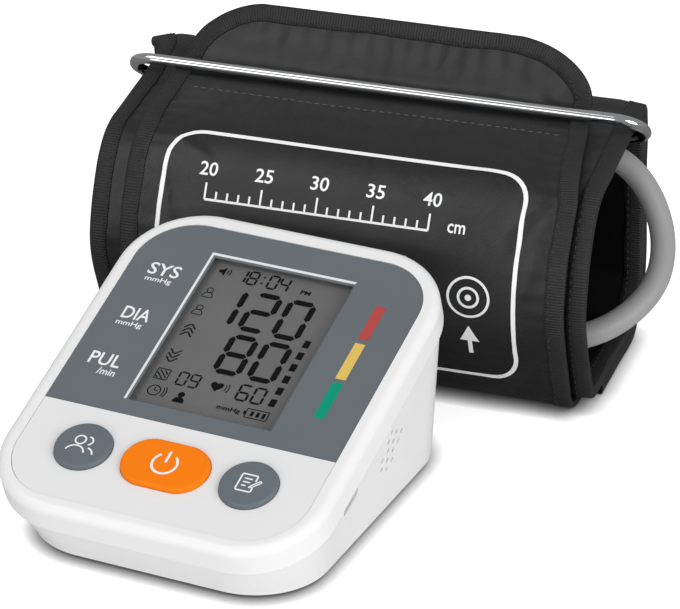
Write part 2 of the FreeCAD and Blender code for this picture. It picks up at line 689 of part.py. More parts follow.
def board_screws():
    """Four small screws that hold the board to its posts."""
    low = -BOARD_N - BOARD_T
    screws = []
    for u, v in BOARD_POSTS:
        head = rod(BOARD_HEAD_R, (u, v, low - BOARD_HEAD_H), (u, v, low))
        shank = rod(BOARD_SCREW_R, (u, v, low - BOARD_HEAD_H / 2), (u, v, low + BOARD_SCREW_L))
        screws.append(joined([head, shank]))
    return on_slope(group(screws))


def pressure_sensor():
    """Sensor under the board, with a side port."""
    v, n = SENSOR_VN
    body = box(SENSOR_U, (v - SENSOR_HALF, v + SENSOR_HALF),
               (-n - SENSOR_UNDER, -BOARD_N - BOARD_T))
    port = rod(NIPPLE_R, (SENSOR_U[0] - NIPPLE_L, v, -n), (SENSOR_U[0] + NIPPLE_ROOT, v, -n))
    return on_slope(joined([body, port]))


def pump_motor():
    """Motor can with its end boss."""
    z = pump_axis_z()
    can = rod(PUMP_R, (PUMP_HEAD[1], PUMP_Y, z), (MOTOR_END, PUMP_Y, z))
    far = [e for e in end_edges(can) if e.CenterOfMass.x > PUMP_HEAD[1] + OVER]
    boss = rod(MOTOR_BOSS_R, (MOTOR_END - MERGE, PUMP_Y, z), (MOTOR_END + MOTOR_BOSS, PUMP_Y, z))
    return joined([can.makeFillet(MOTOR_ROUND, far), boss])


def air_pump():
    """Diaphragm pump head with an outlet nipple."""
    z = pump_axis_z()
    head = rod(PUMP_R, (PUMP_HEAD[0], PUMP_Y, z), (PUMP_HEAD[1], PUMP_Y, z))
    x = PUMP_HEAD[0] + PUMP_GROOVE_X
    groove = rod(PUMP_R + OVER, (x, PUMP_Y, z), (x + PUMP_GROOVE_W, PUMP_Y, z))
    core = rod(PUMP_R - PUMP_GROOVE_T, (-CASE_W, PUMP_Y, z), (CASE_W, PUMP_Y, z))
    y, oz = OUTLET
    outlet = rod(NIPPLE_R, (PUMP_HEAD[0] - NIPPLE_L, y, oz), (PUMP_HEAD[0] + NIPPLE_ROOT, y, oz))
    return joined([head.cut(groove.cut(core)), outlet])


def release_valve():
    """Solenoid valve that lets the air out, with its inlet nipple and bracket."""
    y, z = VALVE_YZ
    roof = bay_limits()[2][1] + BAY_WALL
    body = rod(VALVE_R, (VALVE_X[0], y, z), (VALVE_X[1], y, z))
    nipple = rod(NIPPLE_R, (VALVE_X[0] - NIPPLE_L, y, z), (VALVE_X[0] + NIPPLE_ROOT, y, z))
    bracket = box((VALVE_X[0] + BRACKET_IN, VALVE_X[1] - BRACKET_IN),
                  (y - BRACKET_HALF, y + BRACKET_HALF), (roof, roof + BRACKET_T))
    return joined([body, nipple, bracket])


def air_manifold():
    """Block that joins pump, valve, sensor and socket."""
    block = box(*MANIFOLD)
    block = block.makeFillet(MANIFOLD_ROUND, upright_edges(block, 2 * MANIFOLD_HALF[1]))
    return joined([block] + manifold_ports(NIPPLE_R))


def manifold_ports(radius):
    """Round bars at the manifold's three nipples: to the pump, the valve and the sensor."""
    x1, y1 = MANIFOLD[0][1], MANIFOLD[1][1]
    px, pz = MANIFOLD_PORT
    ports = [rod(radius, (px, y1 - NIPPLE_ROOT, pz), (px, y1 + NIPPLE_L, pz))]
    for y, z in (VALVE_YZ, sensor_port()):
        ports.append(rod(radius, (x1 - NIPPLE_ROOT, y, z), (x1 + NIPPLE_L, y, z)))
    return ports


def sensor_port():
    """Place y and z of the sensor's port in the unit's frame."""
    v, n = SENSOR_VN
    return v * COS + n * SIN, SLOPE_H + v * SIN - n * COS


def air_tubes():
    """Three soft tubes inside, from the manifold to pump, valve and sensor."""
    px, pz = MANIFOLD_PORT
    y1, x1 = MANIFOLD[1][1], MANIFOLD[0][1]
    oy, oz = OUTLET
    tubes = [tube([(PUMP_HEAD[0] - TUBE_PLAY, oy, oz), (px, oy, oz),
                   (px, y1 + TUBE_PLAY, pz)], TUBE_R)]
    bore = TUBE_R - TUBE_WALL
    cores = manifold_ports(bore)
    cores.append(rod(bore, (PUMP_HEAD[0] - NIPPLE_L, oy, oz), (PUMP_HEAD[0], oy, oz)))
    for (y, z), x in ((VALVE_YZ, VALVE_X[0]), (sensor_port(), SENSOR_U[0])):
        tubes.append(rod(TUBE_R, (x1 + TUBE_PLAY, y, z), (x - TUBE_PLAY, y, z)))
        cores.append(rod(bore, (x - NIPPLE_L, y, z), (x, y, z)))
    return group(t.cut(group(cores)) for t in tubes)


def air_socket():
    """Socket in the left side that takes the hose plug."""
    y, z = SOCKET_YZ
    body = rod(SOCKET_R - RUN_GAP, (SOCKET_FACE, y, z), (MANIFOLD[0][0], y, z))
    flange = rod(SOCKET_FLANGE_R - RUN_GAP, (SOCKET_FACE, y, z),
                 (SOCKET_FACE + SOCKET_FLANGE_T, y, z))
    outside = [e for e in end_edges(flange) if e.CenterOfMass.x < SOCKET_FACE + RUN_GAP]
    flange = flange.makeFillet(SOFT_EDGE, outside)
    bore = rod(AIR_BORE_R, (SOCKET_FACE - OVER, y, z), (SOCKET_FACE + AIR_BORE_L, y, z))
    air = rod(AIR_HOLE_R, (SOCKET_FACE, y, z), (0, y, z))
    return joined([body, flange]).cut(group([bore, air]))


def speaker():
    """Small round speaker behind the holes of the right side."""
    y, z = SPEAKER_YZ
    can = rod(SPEAKER_R, (SPEAKER_X, y, z), (SPEAKER_X + SPEAKER_T, y, z))
    dish = Part.makeCone(SPEAKER_R - SPEAKER_RIM, *SPEAKER_DISH,
                         Vec(SPEAKER_X + SPEAKER_T, y, z), Vec(-1, 0, 0))
    magnet = rod(MAGNET_R, (SPEAKER_X - MAGNET_T, y, z), (SPEAKER_X + MERGE, y, z))
    return joined([can.cut(dish), magnet])


def usb_place(shape, start):
    """From a socket's own frame (narrow, wide, outward) to the slope's."""
    v, n = USB_VN
    turn = FreeCAD.Rotation(Vec(0, 0, 1), Vec(0, 1, 0), Vec(1, 0, 0), "ZYX")
    return put(shape, FreeCAD.Placement(Vec(start, v, -n), turn))


def usb_socket():
    """Power socket at the board's edge: oval shell with a tongue."""
    w, h = USB_SIZE
    shell = slab(h / 2, -w / 2, w / 2, h / 2 - RUN_GAP, 0.0, USB_LEN)
    hole = slab(h / 2 - USB_SHELL, USB_SHELL - w / 2, w / 2 - USB_SHELL,
                h / 2 - USB_SHELL - RUN_GAP, USB_BACK, USB_LEN + OVER)
    side = w / 2 - USB_TONGUE_IN
    tongue = box((-USB_TONGUE_T / 2, USB_TONGUE_T / 2), (-side, side),
                 (USB_BACK / 2, USB_LEN - USB_TONGUE_SHORT))
    return on_slope(usb_place(joined([shell.cut(hole), tongue]), USB_MOUTH - USB_LEN))


# ---------------------------------------------------------------- power
def cell_rows():
    """Places y of the cells, and which way each points."""
    pitch = 2 * CELL_R + CELL_GAP
    return [(BAY_FRONT + pitch * (k + 0.5), 1 if k % 2 else -1) for k in range(CELL_COUNT)]


def cell_z():
    """Height of the cells' axes."""
    return FOOT_H + WALL + CELL_R + CELL_LIFT


def plate_face(way):
    """Place x of the contact plate that a cell's nub touches."""
    return way * (BAY_HALF - CONTACT_T)


def batteries():
    """Four cells side by side, every other one turned round."""
    cells = []
    for y, way in cell_rows():
        nub = plate_face(way)
        front = nub - way * CELL_NUB
        back = front - way * CELL_L
        can = rod(CELL_R, (back, y, cell_z()), (front, y, cell_z()))
        can = can.makeFillet(SOFT_EDGE, end_edges(can))
        tip = rod(CELL_NUB_R, (front - way * MERGE, y, cell_z()), (nub, y, cell_z()))
        cells.append(joined([can, tip]))
    return group(cells)


def battery_plates():
    """Flat contacts on both end walls of the bay."""
    pads = []
    across, up = CONTACT_HALF
    for y, way in cell_rows():
        for side in (-1, 1):
            x = sorted((side * BAY_HALF, side * (BAY_HALF - CONTACT_T)))
            pads.append(box(x, (y - across, y + across), (cell_z() - up, cell_z() + up)))
    return group(pads)


def battery_springs():
    """Conical springs against the cells' flat ends."""
    springs = []
    for y, way in cell_rows():
        wall = -way * (BAY_HALF - CONTACT_T)
        flat = plate_face(way) - way * (CELL_NUB + CELL_L)
        place = Vec(wall, y, cell_z()), Vec(way, 0, 0)
        cone = Part.makeCone(*SPRING_R, abs(wall - flat), *place)
        inner = [r - SPRING_WIRE for r in SPRING_R]
        springs.append(cone.cut(Part.makeCone(*inner, abs(wall - flat), *place)))
    return group(springs)


def battery_door():
    """Door in the base: two tabs at its front edge carry it, a finger latch is at the back."""
    bay = bay_limits()
    y0, y1 = bay[1][0] + DOOR_IN, bay[1][1] - DOOR_IN
    plate = box((-DOOR_HALF + DOOR_GAP, DOOR_HALF - DOOR_GAP), (y0 + RUN_GAP, y1 - DOOR_GAP),
                (FOOT_H, FOOT_H + WALL))
    tabs = []
    floor = FOOT_H + WALL
    for side in (-1, 1):
        x = (side * TAB_X - TAB_W / 2, side * TAB_X + TAB_W / 2)
        tabs.append(box(x, (y0 - TAB_OUT, y0 + TAB_ROOT[1]),
                        (floor + TAB_LIFT, floor + TAB_LIFT + TAB_T)))
        tabs.append(box(x, (y0 + TAB_ROOT[0], y0 + TAB_ROOT[1]),
                        (floor - MERGE, floor + TAB_LIFT + MERGE)))
    slits = [box((side * FINGER_W / 2 - FINGER_SLIT / 2, side * FINGER_W / 2 + FINGER_SLIT / 2),
                 (y1 - FINGER_L, y1 + OVER), (0, floor + OVER)) for side in (-1, 1)]
    half = FINGER_W / 2 - GRIP_IN
    grips = [box((-half, half), (y1 - back, y1 - back + GRIP_W), (0, FOOT_H + GRIP_T))
             for back in GRIP_BACK]
    return joined([plate] + tabs).cut(group(slits + grips))


def case_screws():
    """Four screws that hold the casings together, deep in their posts."""
    screws = []
    for x, y in CASE_POSTS:
        z = slope_z(y, -BAND) - SCREW_GRIP
        head = rod(SCREW_HEAD_R, (x, y, z - SCREW_HEAD_H), (x, y, z))
        shank = rod(SCREW_R, (x, y, z - SCREW_SUNK), (x, y, z + SCREW_LEN - SCREW_SUNK))
        screws.append(joined([head, shank]))
    return group(screws)


def rubber_feet():
    """Four round feet, seated in the base."""
    feet = []
    for x, y in FEET:
        foot = rod(FOOT_R - FOOT_PLAY, (x, y, 0), (x, y, FOOT_H + FOOT_SEAT))
        feet.append(foot.makeFillet(SOFT_EDGE, edges_at(foot, 0.0)))
    return group(feet)


# ---------------------------------------------------------------- cuff strip
def normal(a, b):
    """Unit vector to the left of the way from a to b."""
    dx, dy = b[0] - a[0], b[1] - a[1]
    length = math.hypot(dx, dy)
    return -dy / length, dx / length


def cross(a, b, c, d):
    """Where the line through a and b meets the line through c and d."""
    r, s = (b[0] - a[0], b[1] - a[1]), (d[0] - c[0], d[1] - c[1])
    t = ((c[0] - a[0]) * s[1] - (c[1] - a[1]) * s[0]) / (r[0] * s[1] - r[1] * s[0])
    return a[0] + t * r[0], a[1] + t * r[1]


def shifted(points, inward):
    """Open chain of points moved to its left by a distance, each line kept parallel."""
    lines = []
    for a, b in zip(points, points[1:]):
        nx, ny = normal(a, b)
        lines.append(((a[0] + nx * inward, a[1] + ny * inward),
                      (b[0] + nx * inward, b[1] + ny * inward)))
    inner = [cross(*before, *after) for before, after in zip(lines, lines[1:])]
    return [lines[0][0]] + inner + [lines[-1][1]]


def rounded(points, radii, inward):
    """Edges of a shifted chain whose corners are arcs; also its two ends."""
    chain = shifted(points, inward)
    edges, last = [], chain[0]
    for k, radius in enumerate(radii):
        a, p, b = chain[k], chain[k + 1], chain[k + 2]
        u = (p[0] - a[0], p[1] - a[1])
        w = (b[0] - p[0], b[1] - p[1])
        lu, lw = math.hypot(*u), math.hypot(*w)
        u, w = (u[0] / lu, u[1] / lu), (w[0] / lw, w[1] / lw)
        side = u[0] * w[1] - u[1] * w[0]
        r = radius - inward if side > 0 else radius + inward
        turn = math.atan2(side, u[0] * w[0] + u[1] * w[1])
        reach = abs(r * math.tan(turn / 2))
        start = (p[0] - u[0] * reach, p[1] - u[1] * reach)
        end = (p[0] + w[0] * reach, p[1] + w[1] * reach)
        bis = (w[0] - u[0], w[1] - u[1])
        size = math.hypot(*bis)
        depth = r / math.cos(turn / 2) - r
        mid = (p[0] + bis[0] / size * depth, p[1] + bis[1] / size * depth)
        edges.append(Part.LineSegment(Vec(0, *last), Vec(0, *start)).toShape())
        edges.append(Part.Arc(Vec(0, *start), Vec(0, *mid), Vec(0, *end)).toShape())
        last = end
    edges.append(Part.LineSegment(Vec(0, *last), Vec(0, *chain[-1])).toShape())
    return edges, chain[0], chain[-1]


def layer(points, radii, outer, inner, span):
    """Band between two depths below the strip's outer face, over a span of the cuff."""
    out_edges, out_a, out_b = rounded(points, radii, outer)
    in_edges, in_a, in_b = rounded(points, radii, inner)
    ends = [Part.LineSegment(Vec(0, *out_b), Vec(0, *in_b)).toShape(),
            Part.LineSegment(Vec(0, *in_a), Vec(0, *out_a)).toShape()]
    wire = Part.Wire(Part.__sortEdges__(out_edges + in_edges + ends))
    face = Part.Face(wire)
    face.translate(Vec(span[0], 0, 0))
    return face.extrude(Vec(span[1] - span[0], 0, 0))


def wrap_line():
    """Corners and radii of the full-width strip: bottom, back, then one more turn inside."""
    turn = STRIP_T + ROLL_GAP
    front = shifted([c for c, r in ROLL] + [BACK[0][0]], turn)[1:4]
    back = shifted([ROLL[3][0]] + [c for c, r in BACK] + [front[0]], turn)[1:4]
    fall = (front[0][1] - BACK[2][0][1]) / (front[0][0] - BACK[2][0][0])
    end = (ROLL_END, back[2][1] + (ROLL_END - back[2][0]) * fall)
    radii = [r for c, r in BACK] + [max(r - turn, STRIP_T + FOLD_R) for c, r in ROLL[1:] + BACK]
    return [SEAM] + [c for c, r in BACK] + front + back + [end], radii


def panel_line():
    """Corners and radii of the printed panel, from the flap's tip down the front."""
    return [FLAP_TIP] + [c for c, r in ROLL] + [SEAM], [r for c, r in ROLL]


def whole_span():
    """Limits of the cuff along its own length."""
    return -CUFF_W, 0.0


def wrap_layer(outer, inner, span):
    """A layer of the full-width strip."""
    return layer(*wrap_line(), outer, inner, span)


def flap_cutter(inset):
    """What is cut away, seen from above, to round the flap; larger inset for its binding."""
    tools = []
    for spots, edge, way in ((FLAP_LEFT, PANEL_LEFT, -1), (FLAP_RIGHT, PANEL_RIGHT, 1)):
        low, mid, high = [Vec(-s - way * inset, v - inset * k, 0)
                          for (s, v), k in zip(spots, FLAP_SHIFT)]
        start = Vec(-edge - way * inset, ROLL[1][0][0], 0)
        far = Vec(-edge + way * FLAP_ROOM, start.y, 0)
        corner = Vec(far.x, FLAP_BACK, 0)
        middle = Vec(high.x, FLAP_BACK, 0)
        edges = [Part.LineSegment(start, low).toShape(), Part.Arc(low, mid, high).toShape(),
                 Part.LineSegment(high, middle).toShape(), Part.LineSegment(middle, corner).toShape(),
                 Part.LineSegment(corner, far).toShape(), Part.LineSegment(far, start).toShape()]
        face = Part.Face(Part.Wire(edges))
        face.translate(Vec(0, 0, ROLL[1][0][1] - FLAP_LOW))
        tools.append(face.extrude(Vec(0, 0, FLAP_TOP - ROLL[1][0][1])))
    if inset:
        tip = box((-CUFF_W, 0), (FLAP_TIP[0] - inset * FLAP_SHIFT[2], FLAP_BACK),
                  (ROLL[0][0][1], FLAP_TOP))
        tools.append(tip)
    return group(tools)


def panel_span(inset=0.0):
    """Limits of the printed panel along the cuff."""
    return inset - PANEL_LEFT, -PANEL_RIGHT - inset


def closure_panel():
    """Printed outer panel and its flap, with rounded corners."""
    return layer(*panel_line(), 0.0, STRIP_T - HOOK_T - LAYER_GAP, panel_span()).cut(flap_cutter(0.0))


def hook_patch():
    """Hook tape on the inner side of the flap."""
    band = layer(*panel_line(), STRIP_T - HOOK_T, STRIP_T, panel_span(TAPE_W))
    keep = box((-CUFF_W, 0), (HOOK_END, FLAP_BACK), (FLAP_BACK, FLAP_TOP))
    return band.cut(flap_cutter(TAPE_W)).common(keep)


def panel_binding():
    """Tape along both sides of the panel and round its flap."""
    tape = layer(*panel_line(), -TAPE_T, 0.0, panel_span()).cut(flap_cutter(0.0))
    field = layer(*panel_line(), -TAPE_T * 2, TAPE_T, panel_span(TAPE_W))
    return tape.cut(field.cut(flap_cutter(TAPE_W)))


def edge_binding(left):
    """Tape folded round one edge of the full-width strip, all along it."""
    low, high = whole_span()
    span = (low - TAPE_T, low + TAPE_W) if left else (high - TAPE_W, high + TAPE_T)
    around = wrap_layer(-TAPE_T, STRIP_T + TAPE_T, span)
    return around.cut(wrap_layer(0.0, STRIP_T, whole_span()))


def bladder():
    """Flat air bag between face fabric and lining."""
    low, high = whole_span()
    margin = FABRIC_T + LAYER_GAP
    return wrap_layer(margin, STRIP_T - margin, (low + BAG_IN[0], high - BAG_IN[1]))


def closure_ring():
    """Bent wire ring: two long bars with half-round ends."""
    (tv, th), (pv, ph) = RING_TOP, RING_PIVOT
    reach = math.hypot(tv - pv, th - ph)
    bend = reach / 2
    low, high = -CUFF_W - RING_OUT[0] + bend, RING_OUT[1] - bend
    across = Vec(0, (tv - pv) / reach, (th - ph) / reach)
    base = Vec(0, pv, ph)

    def spot(s, along, out):
        """Point along the ring's end, out from the cuff."""
        return base + across * along + Vec(s + out, 0, 0)

    edges = [Part.LineSegment(spot(low, 0, 0), spot(high, 0, 0)).toShape(),
             Part.Arc(spot(high, 0, 0), spot(high, bend, bend), spot(high, reach, 0)).toShape(),
             Part.LineSegment(spot(high, reach, 0), spot(low, reach, 0)).toShape(),
             Part.Arc(spot(low, reach, 0), spot(low, bend, -bend), spot(low, 0, 0)).toShape()]
    return sweep(Part.Wire(edges), spot(low, 0, 0), Vec(1, 0, 0), WIRE_R)


def ring_keeper():
    """Sewn loop at the strip's inner end, round the ring's hidden bar."""
    pv, ph = RING_PIVOT
    span = (-CUFF_W + KEEPER_IN, -KEEPER_IN)
    hole = WIRE_R + RUN_GAP
    sleeve = rod(hole + KEEPER_T, (span[0], pv, ph), (span[1], pv, ph))
    points = wrap_line()[0]
    inner = shifted(points, STRIP_T)[-1]
    tail = box(span, (pv, points[-1][0] - FOOT_PLAY),
               (inner[1] - KEEPER_LOW, ph + hole + KEEPER_T - RUN_GAP))
    bore = rod(hole, (-CUFF_W, pv, ph), (0, pv, ph))
    return joined([sleeve, tail]).cut(bore)


# ---------------------------------------------------------------- hose
def sweep(path, start, way, radius):
    """Round bar along a wire."""
    ring = Part.Wire(Part.Circle(start, way, radius).toShape())
    return path.makePipeShell([ring], True, False)


def tube(points, radius, report=None):
    """Bar along straight runs joined by tangent arcs, each as large as its runs allow."""
    spots = [Vec(*p) for p in points]
    edges, last = [], spots[0]
    for a, p, b in zip(spots, spots[1:], spots[2:]):
        u, w = (p - a), (b - p)
        short = min(u.Length, w.Length)
        u.normalize()
        w.normalize()
        turn = u.getAngle(w)
        reach = BEND_SHARE * short
        bend = reach / math.tan(turn / 2)
        if report is not None:
            report.append(bend)
        start, end = p - u * reach, p + w * reach
        inward = w - u
        inward.normalize()
        mid = p + inward * (bend / math.cos(turn / 2) - bend)
        edges.append(Part.LineSegment(last, start).toShape())
        edges.append(Part.Arc(start, mid, end).toShape())
        last = end
    edges.append(Part.LineSegment(last, spots[-1]).toShape())
    path = Part.Wire(edges)
    solid = sweep(path, spots[0], spots[1] - spots[0], radius)
    if report is not None:
        report.append(path.Length)
    return solid


def hose_tube():
    """Air hose from its elbow, out of the cuff's right end and back in, to the hank."""
    facts = []
    solid = tube(HOSE_ROUTE, HOSE_R, facts)
    length = facts.pop()
    print("hose radii", [round(r, 1) for r in facts], "length", round(length, 1),
          "volume ratio", round(solid.Volume / (math.pi * HOSE_R ** 2 * length), 4))
    return solid


def hose_nipple():
    """Elbow on the lining: flange, body and barb collar."""
    points = wrap_line()[0]
    flange_r, flange_t = ELBOW_FLANGE
    inner = shifted(points, STRIP_T)
    a, b = inner[len(BACK)], inner[len(BACK) + 1]
    slope = (b[1] - a[1]) / (b[0] - a[0])
    mouth, ahead = Vec(*HOSE_ROUTE[0]), Vec(*HOSE_ROUTE[1])
    bend = mouth + (mouth - ahead) * ((mouth.x - ELBOW_S) / (ahead.x - mouth.x))
    face = (bend.y, a[1] + (bend.y - a[0]) * slope)
    lean = math.atan(slope)
    down = (math.sin(lean), -math.cos(lean))

    def under(depth):
        """Point below the lining's face."""
        return ELBOW_S, face[0] + down[0] * depth, face[1] + down[1] * depth

    flange = rod(flange_r, under(RUN_GAP), under(flange_t))
    body = rod(ELBOW_R, under(flange_t - MERGE), (bend.x, bend.y, bend.z - ELBOW_R))
    return joined([flange, body, rod(HOSE_R + ELBOW_COLLAR, bend, mouth)])


def hank_place():
    """Frame of the hank: along the cuff, across it, and out of its leaning plane."""
    (fv, fh), (bv, bh) = HANK_FRONT, HANK_BACK
    lean = math.degrees(math.atan2(bh - fh, bv - fv))
    return FreeCAD.Placement(Vec(0, fv, fh), FreeCAD.Rotation(Vec(1, 0, 0), lean))


def hank_width():
    """From the middle of the front run to the middle of the back run."""
    return math.dist(HANK_FRONT, HANK_BACK)


def hank_ring(low, high, grow, narrow):
    """Racetrack-shaped ring between two levels."""
    wide = hank_width()
    middle, (s0, s1) = wide / 2, HANK_S

    def track(radius):
        """Racetrack of the hank's straight runs, with the given end radius."""
        front, back = middle - radius, middle + radius
        runs = [Part.LineSegment(Vec(s0, front, low), Vec(s1, front, low)),
                Part.Arc(Vec(s1, front, low), Vec(s1 + radius, middle, low), Vec(s1, back, low)),
                Part.LineSegment(Vec(s1, back, low), Vec(s0, back, low)),
                Part.Arc(Vec(s0, back, low), Vec(s0 - radius, middle, low), Vec(s0, front, low))]
        wire = Part.Wire([run.toShape() for run in runs])
        return Part.Face(wire).extrude(Vec(0, 0, high - low))

    return track(middle + grow).cut(track(middle - narrow))


def hose_hank():
    """Outer shape of the put-away hose: two flat turns, the upper one open for the plug."""
    ring = hank_ring(-HOSE_R, HANK_PILE + HOSE_R, HOSE_R, HOSE_R)
    rims = edges_at(ring, -HOSE_R) + edges_at(ring, HANK_PILE + HOSE_R)
    ring = ring.makeFillet(HANK_ROUND, rims)
    wide = hank_width()
    level = (HANK_PILE / 2, HANK_PILE + 2 * HOSE_R)
    plug_room = box((PLUG_S[0], 0), (wide / 2, 2 * wide), (-2 * HOSE_R, level[0] + MERGE))
    entry = box((HANK_S[1], 0), (-wide, wide / 2), level)
    return put(ring.cut(group([plug_room, entry])), hank_place())


def air_plug():
    """Plug on the hose's end: ribbed grip and a smooth nose."""
    wide = hank_width()
    s0, s1 = PLUG_S

    def bar(radius, a, b):
        """Round bar in line with the hank's back run."""
        return rod(radius, (a, wide, 0), (b, wide, 0))

    grip = bar(PLUG_R, s0, s0 + PLUG_GRIP)
    grip = grip.makeFillet(PLUG_ROUND, end_edges(grip))
    core = bar(PLUG_R - PLUG_GROOVE_T, s0, s1)
    grooves = [bar(PLUG_R + OVER, s0 + x, s0 + x + PLUG_GROOVE_W).cut(core)
               for x in PLUG_GROOVES]
    nose = bar(NOSE_R, s0 + PLUG_GRIP - OVER, s1)
    tip = [e for e in end_edges(nose) if e.CenterOfMass.x > s1 - RUN_GAP]
    nose = nose.makeChamfer(NOSE_BEVEL, tip)
    return put(joined([grip.cut(group(grooves)), nose]), hank_place())


def hose_tie():
    """Narrow band round both front runs of the hank."""
    y = (-HOSE_R - TIE_SLACK, HOSE_R + TIE_SLACK)
    z = (-HOSE_R - TIE_SLACK, HANK_PILE + HOSE_R + TIE_SLACK)
    outer = box(TIE_S, (y[0] - TIE_T, y[1] + TIE_T), (z[0] - TIE_T, z[1] + TIE_T))
    outer = outer.makeFillet(HANK_ROUND, [e for e in outer.Edges if e.BoundBox.XLength > OVER])
    inner = box((TIE_S[0] - OVER, TIE_S[1] + OVER), y, z)
    inner = inner.makeFillet(HANK_ROUND - TIE_T,
                             [e for e in inner.Edges if e.BoundBox.XLength > OVER])
    return put(outer.cut(inner), hank_place())


# ---------------------------------------------------------------- assembly
def desk_unit():
    """Nodes of the desk unit, in its own frame."""
    names = ("user", "power", "memory")
    pieces = {
        "lower_case": lower_case(), "upper_case": upper_case(),
        "display_panel": display_panel(), "button_panel": button_panel(),
        "lcd_window": lcd_window(), "lcd_glass": lcd_glass(), "lcd_holder": lcd_holder(),
        "lcd_connector": lcd_connector(),
        "button_switches": button_switches(), "main_board": main_board(),
        "board_chips": board_chips(), "board_screws": board_screws(),
        "pressure_sensor": pressure_sensor(), "pump_motor": pump_motor(), "air_pump": air_pump(),
        "release_valve": release_valve(), "air_manifold": air_manifold(), "air_tubes": air_tubes(),
        "air_socket": air_socket(), "speaker": speaker(), "usb_socket": usb_socket(),
        "batteries": batteries(), "battery_plates": battery_plates(),
        "battery_springs": battery_springs(), "battery_door": battery_door(),
        "case_screws": case_screws(), "rubber_feet": rubber_feet(),
    }
    for index, name in enumerate(names):
        pieces[name + "_button"] = button(index)
        pieces[name + "_plunger"] = plunger(index)
    return pieces


def cuff_set():
    """Nodes of the cuff and its hose, in the cuff's own frame."""
    return {
        "cuff_outer_cover": wrap_layer(0.0, FABRIC_T, whole_span()),
        "bladder": bladder(),
        "cuff_inner_lining": wrap_layer(STRIP_T - FABRIC_T, STRIP_T, whole_span()),
        "closure_panel": closure_panel(), "hook_patch": hook_patch(),
        "panel_binding": panel_binding(),
        "right_binding": edge_binding(False), "left_binding": edge_binding(True),
        "ring_keeper": ring_keeper(), "closure_ring": closure_ring(),
        "hose_nipple": hose_nipple(), "hose_tube": hose_tube(), "hose_hank": hose_hank(),
        "air_plug": air_plug(), "hose_tie": hose_tie(),
    }


def main():
    """Build every node, write it, and print the middle of the object without its hose."""
    os.makedirs("parts", exist_ok=True)
    nodes = {name: put(shape, UNIT) for name, shape in desk_unit().items()}
    nodes.update({name: put(shape, CUFF) for name, shape in cuff_set().items()})
    cord = ("hose_tube", "hose_hank", "air_plug", "hose_tie")
    whole = FreeCAD.BoundBox()
    for name, shape in nodes.items():
        if not shape.isValid() or not shape.Solids:
            print("check this shape:", name, shape.ShapeType, len(shape.Solids))
        shape.exportStep("parts/" + name + ".step")
        if name not in cord:
            whole.add(shape.BoundBox)
    print(len(nodes), "nodes; middle", round(whole.Center.x, 2), round(whole.Center.y, 2),
          "size", round(whole.XLength, 1), round(whole.YLength, 1), round(whole.ZLength, 1),
          "lowest", round(whole.ZMin, 3))


main()
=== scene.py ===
# %% [markdown]
# # Upper-arm blood pressure monitor
# A wedge-shaped desk unit with a sloping display and three buttons stands in front of its
# rolled-up arm cuff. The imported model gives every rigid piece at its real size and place. This
# script adds what a camera sees: the finish of each surface, the woven cuff with its bindings
# and stitches, the chrome ring, the air hose, the picture on the display and the light.

# %% Frame
import math
import bpy
import numpy as np
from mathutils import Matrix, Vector


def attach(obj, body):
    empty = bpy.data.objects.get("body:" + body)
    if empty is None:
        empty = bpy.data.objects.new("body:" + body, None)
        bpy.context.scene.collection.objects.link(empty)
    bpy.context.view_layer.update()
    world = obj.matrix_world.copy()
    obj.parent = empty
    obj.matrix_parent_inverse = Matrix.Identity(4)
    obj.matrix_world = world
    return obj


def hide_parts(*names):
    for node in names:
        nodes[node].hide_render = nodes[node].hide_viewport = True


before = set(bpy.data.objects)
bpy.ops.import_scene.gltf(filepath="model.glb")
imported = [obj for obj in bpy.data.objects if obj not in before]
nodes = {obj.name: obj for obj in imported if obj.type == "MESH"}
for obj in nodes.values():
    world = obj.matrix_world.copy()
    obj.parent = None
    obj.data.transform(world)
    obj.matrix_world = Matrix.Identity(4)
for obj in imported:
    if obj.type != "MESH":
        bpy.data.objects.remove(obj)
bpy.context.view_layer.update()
scene = bpy.context.scene
MM = 0.001

# %% [markdown]
# ## Two frames to build in
# The desk unit's front slopes back by 20 degrees, and the cuff stands a little askew. Points
# are simplest to think of in each piece's own directions: across, up the slope and out of it
# for the front, and along, back and up for the cuff. Two functions turn whole arrays of such
# points into the model's frame, so a mesh never needs to be moved after it is made.

# %% Frames of the front and the cuff
CASE_X, CASE_Y = 5.82, -71.43       # middle of the desk unit, at the joint of its front panels
TILT, SLOPE_H = 20.0, 34.8
CUFF_X, CUFF_Y, CUFF_TURN = 81.12, 50.97, 7.0
CUFF_LIFT = 0.4


def in_metres(x, y, z):
    """Points in metres of three arrays in millimetres."""
    return MM * np.stack(np.broadcast_arrays(x, y, z), axis=-1)


def on_front(u, v, n):
    """Front's own millimetres to metres: across, up the slope, out of it."""
    c, s = math.cos(math.radians(TILT)), math.sin(math.radians(TILT))
    return in_metres(CASE_X + u, CASE_Y + v * c - n * s, SLOPE_H + v * s + n * c)


def on_cuff(s, v, h):
    """Cuff's own millimetres to metres: along it from its right end, back, and up."""
    c, d = math.cos(math.radians(CUFF_TURN)), math.sin(math.radians(CUFF_TURN))
    return in_metres(CUFF_X + s * c - v * d, CUFF_Y + s * d + v * c, h + CUFF_LIFT)


print("front's joint line at", np.round(1000 * on_front(0.0, 0.0, 0.0), 1))

# %% Small helpers


def linked(name, data):
    """Object that holds some data, in the scene."""
    made = bpy.data.objects.new(name, data)
    scene.collection.objects.link(made)
    return made


def aim(thing, place, way):
    """Camera or lamp at a place, looking some way, upright."""
    thing.location = place
    thing.rotation_mode = "QUATERNION"
    thing.rotation_quaternion = Vector(way).to_track_quat("-Z", "Y")


def so_far(path):
    """Distance along a line of points, from the first to each of them."""
    return np.r_[0.0, np.cumsum(np.linalg.norm(np.diff(path, axis=0), axis=1))]


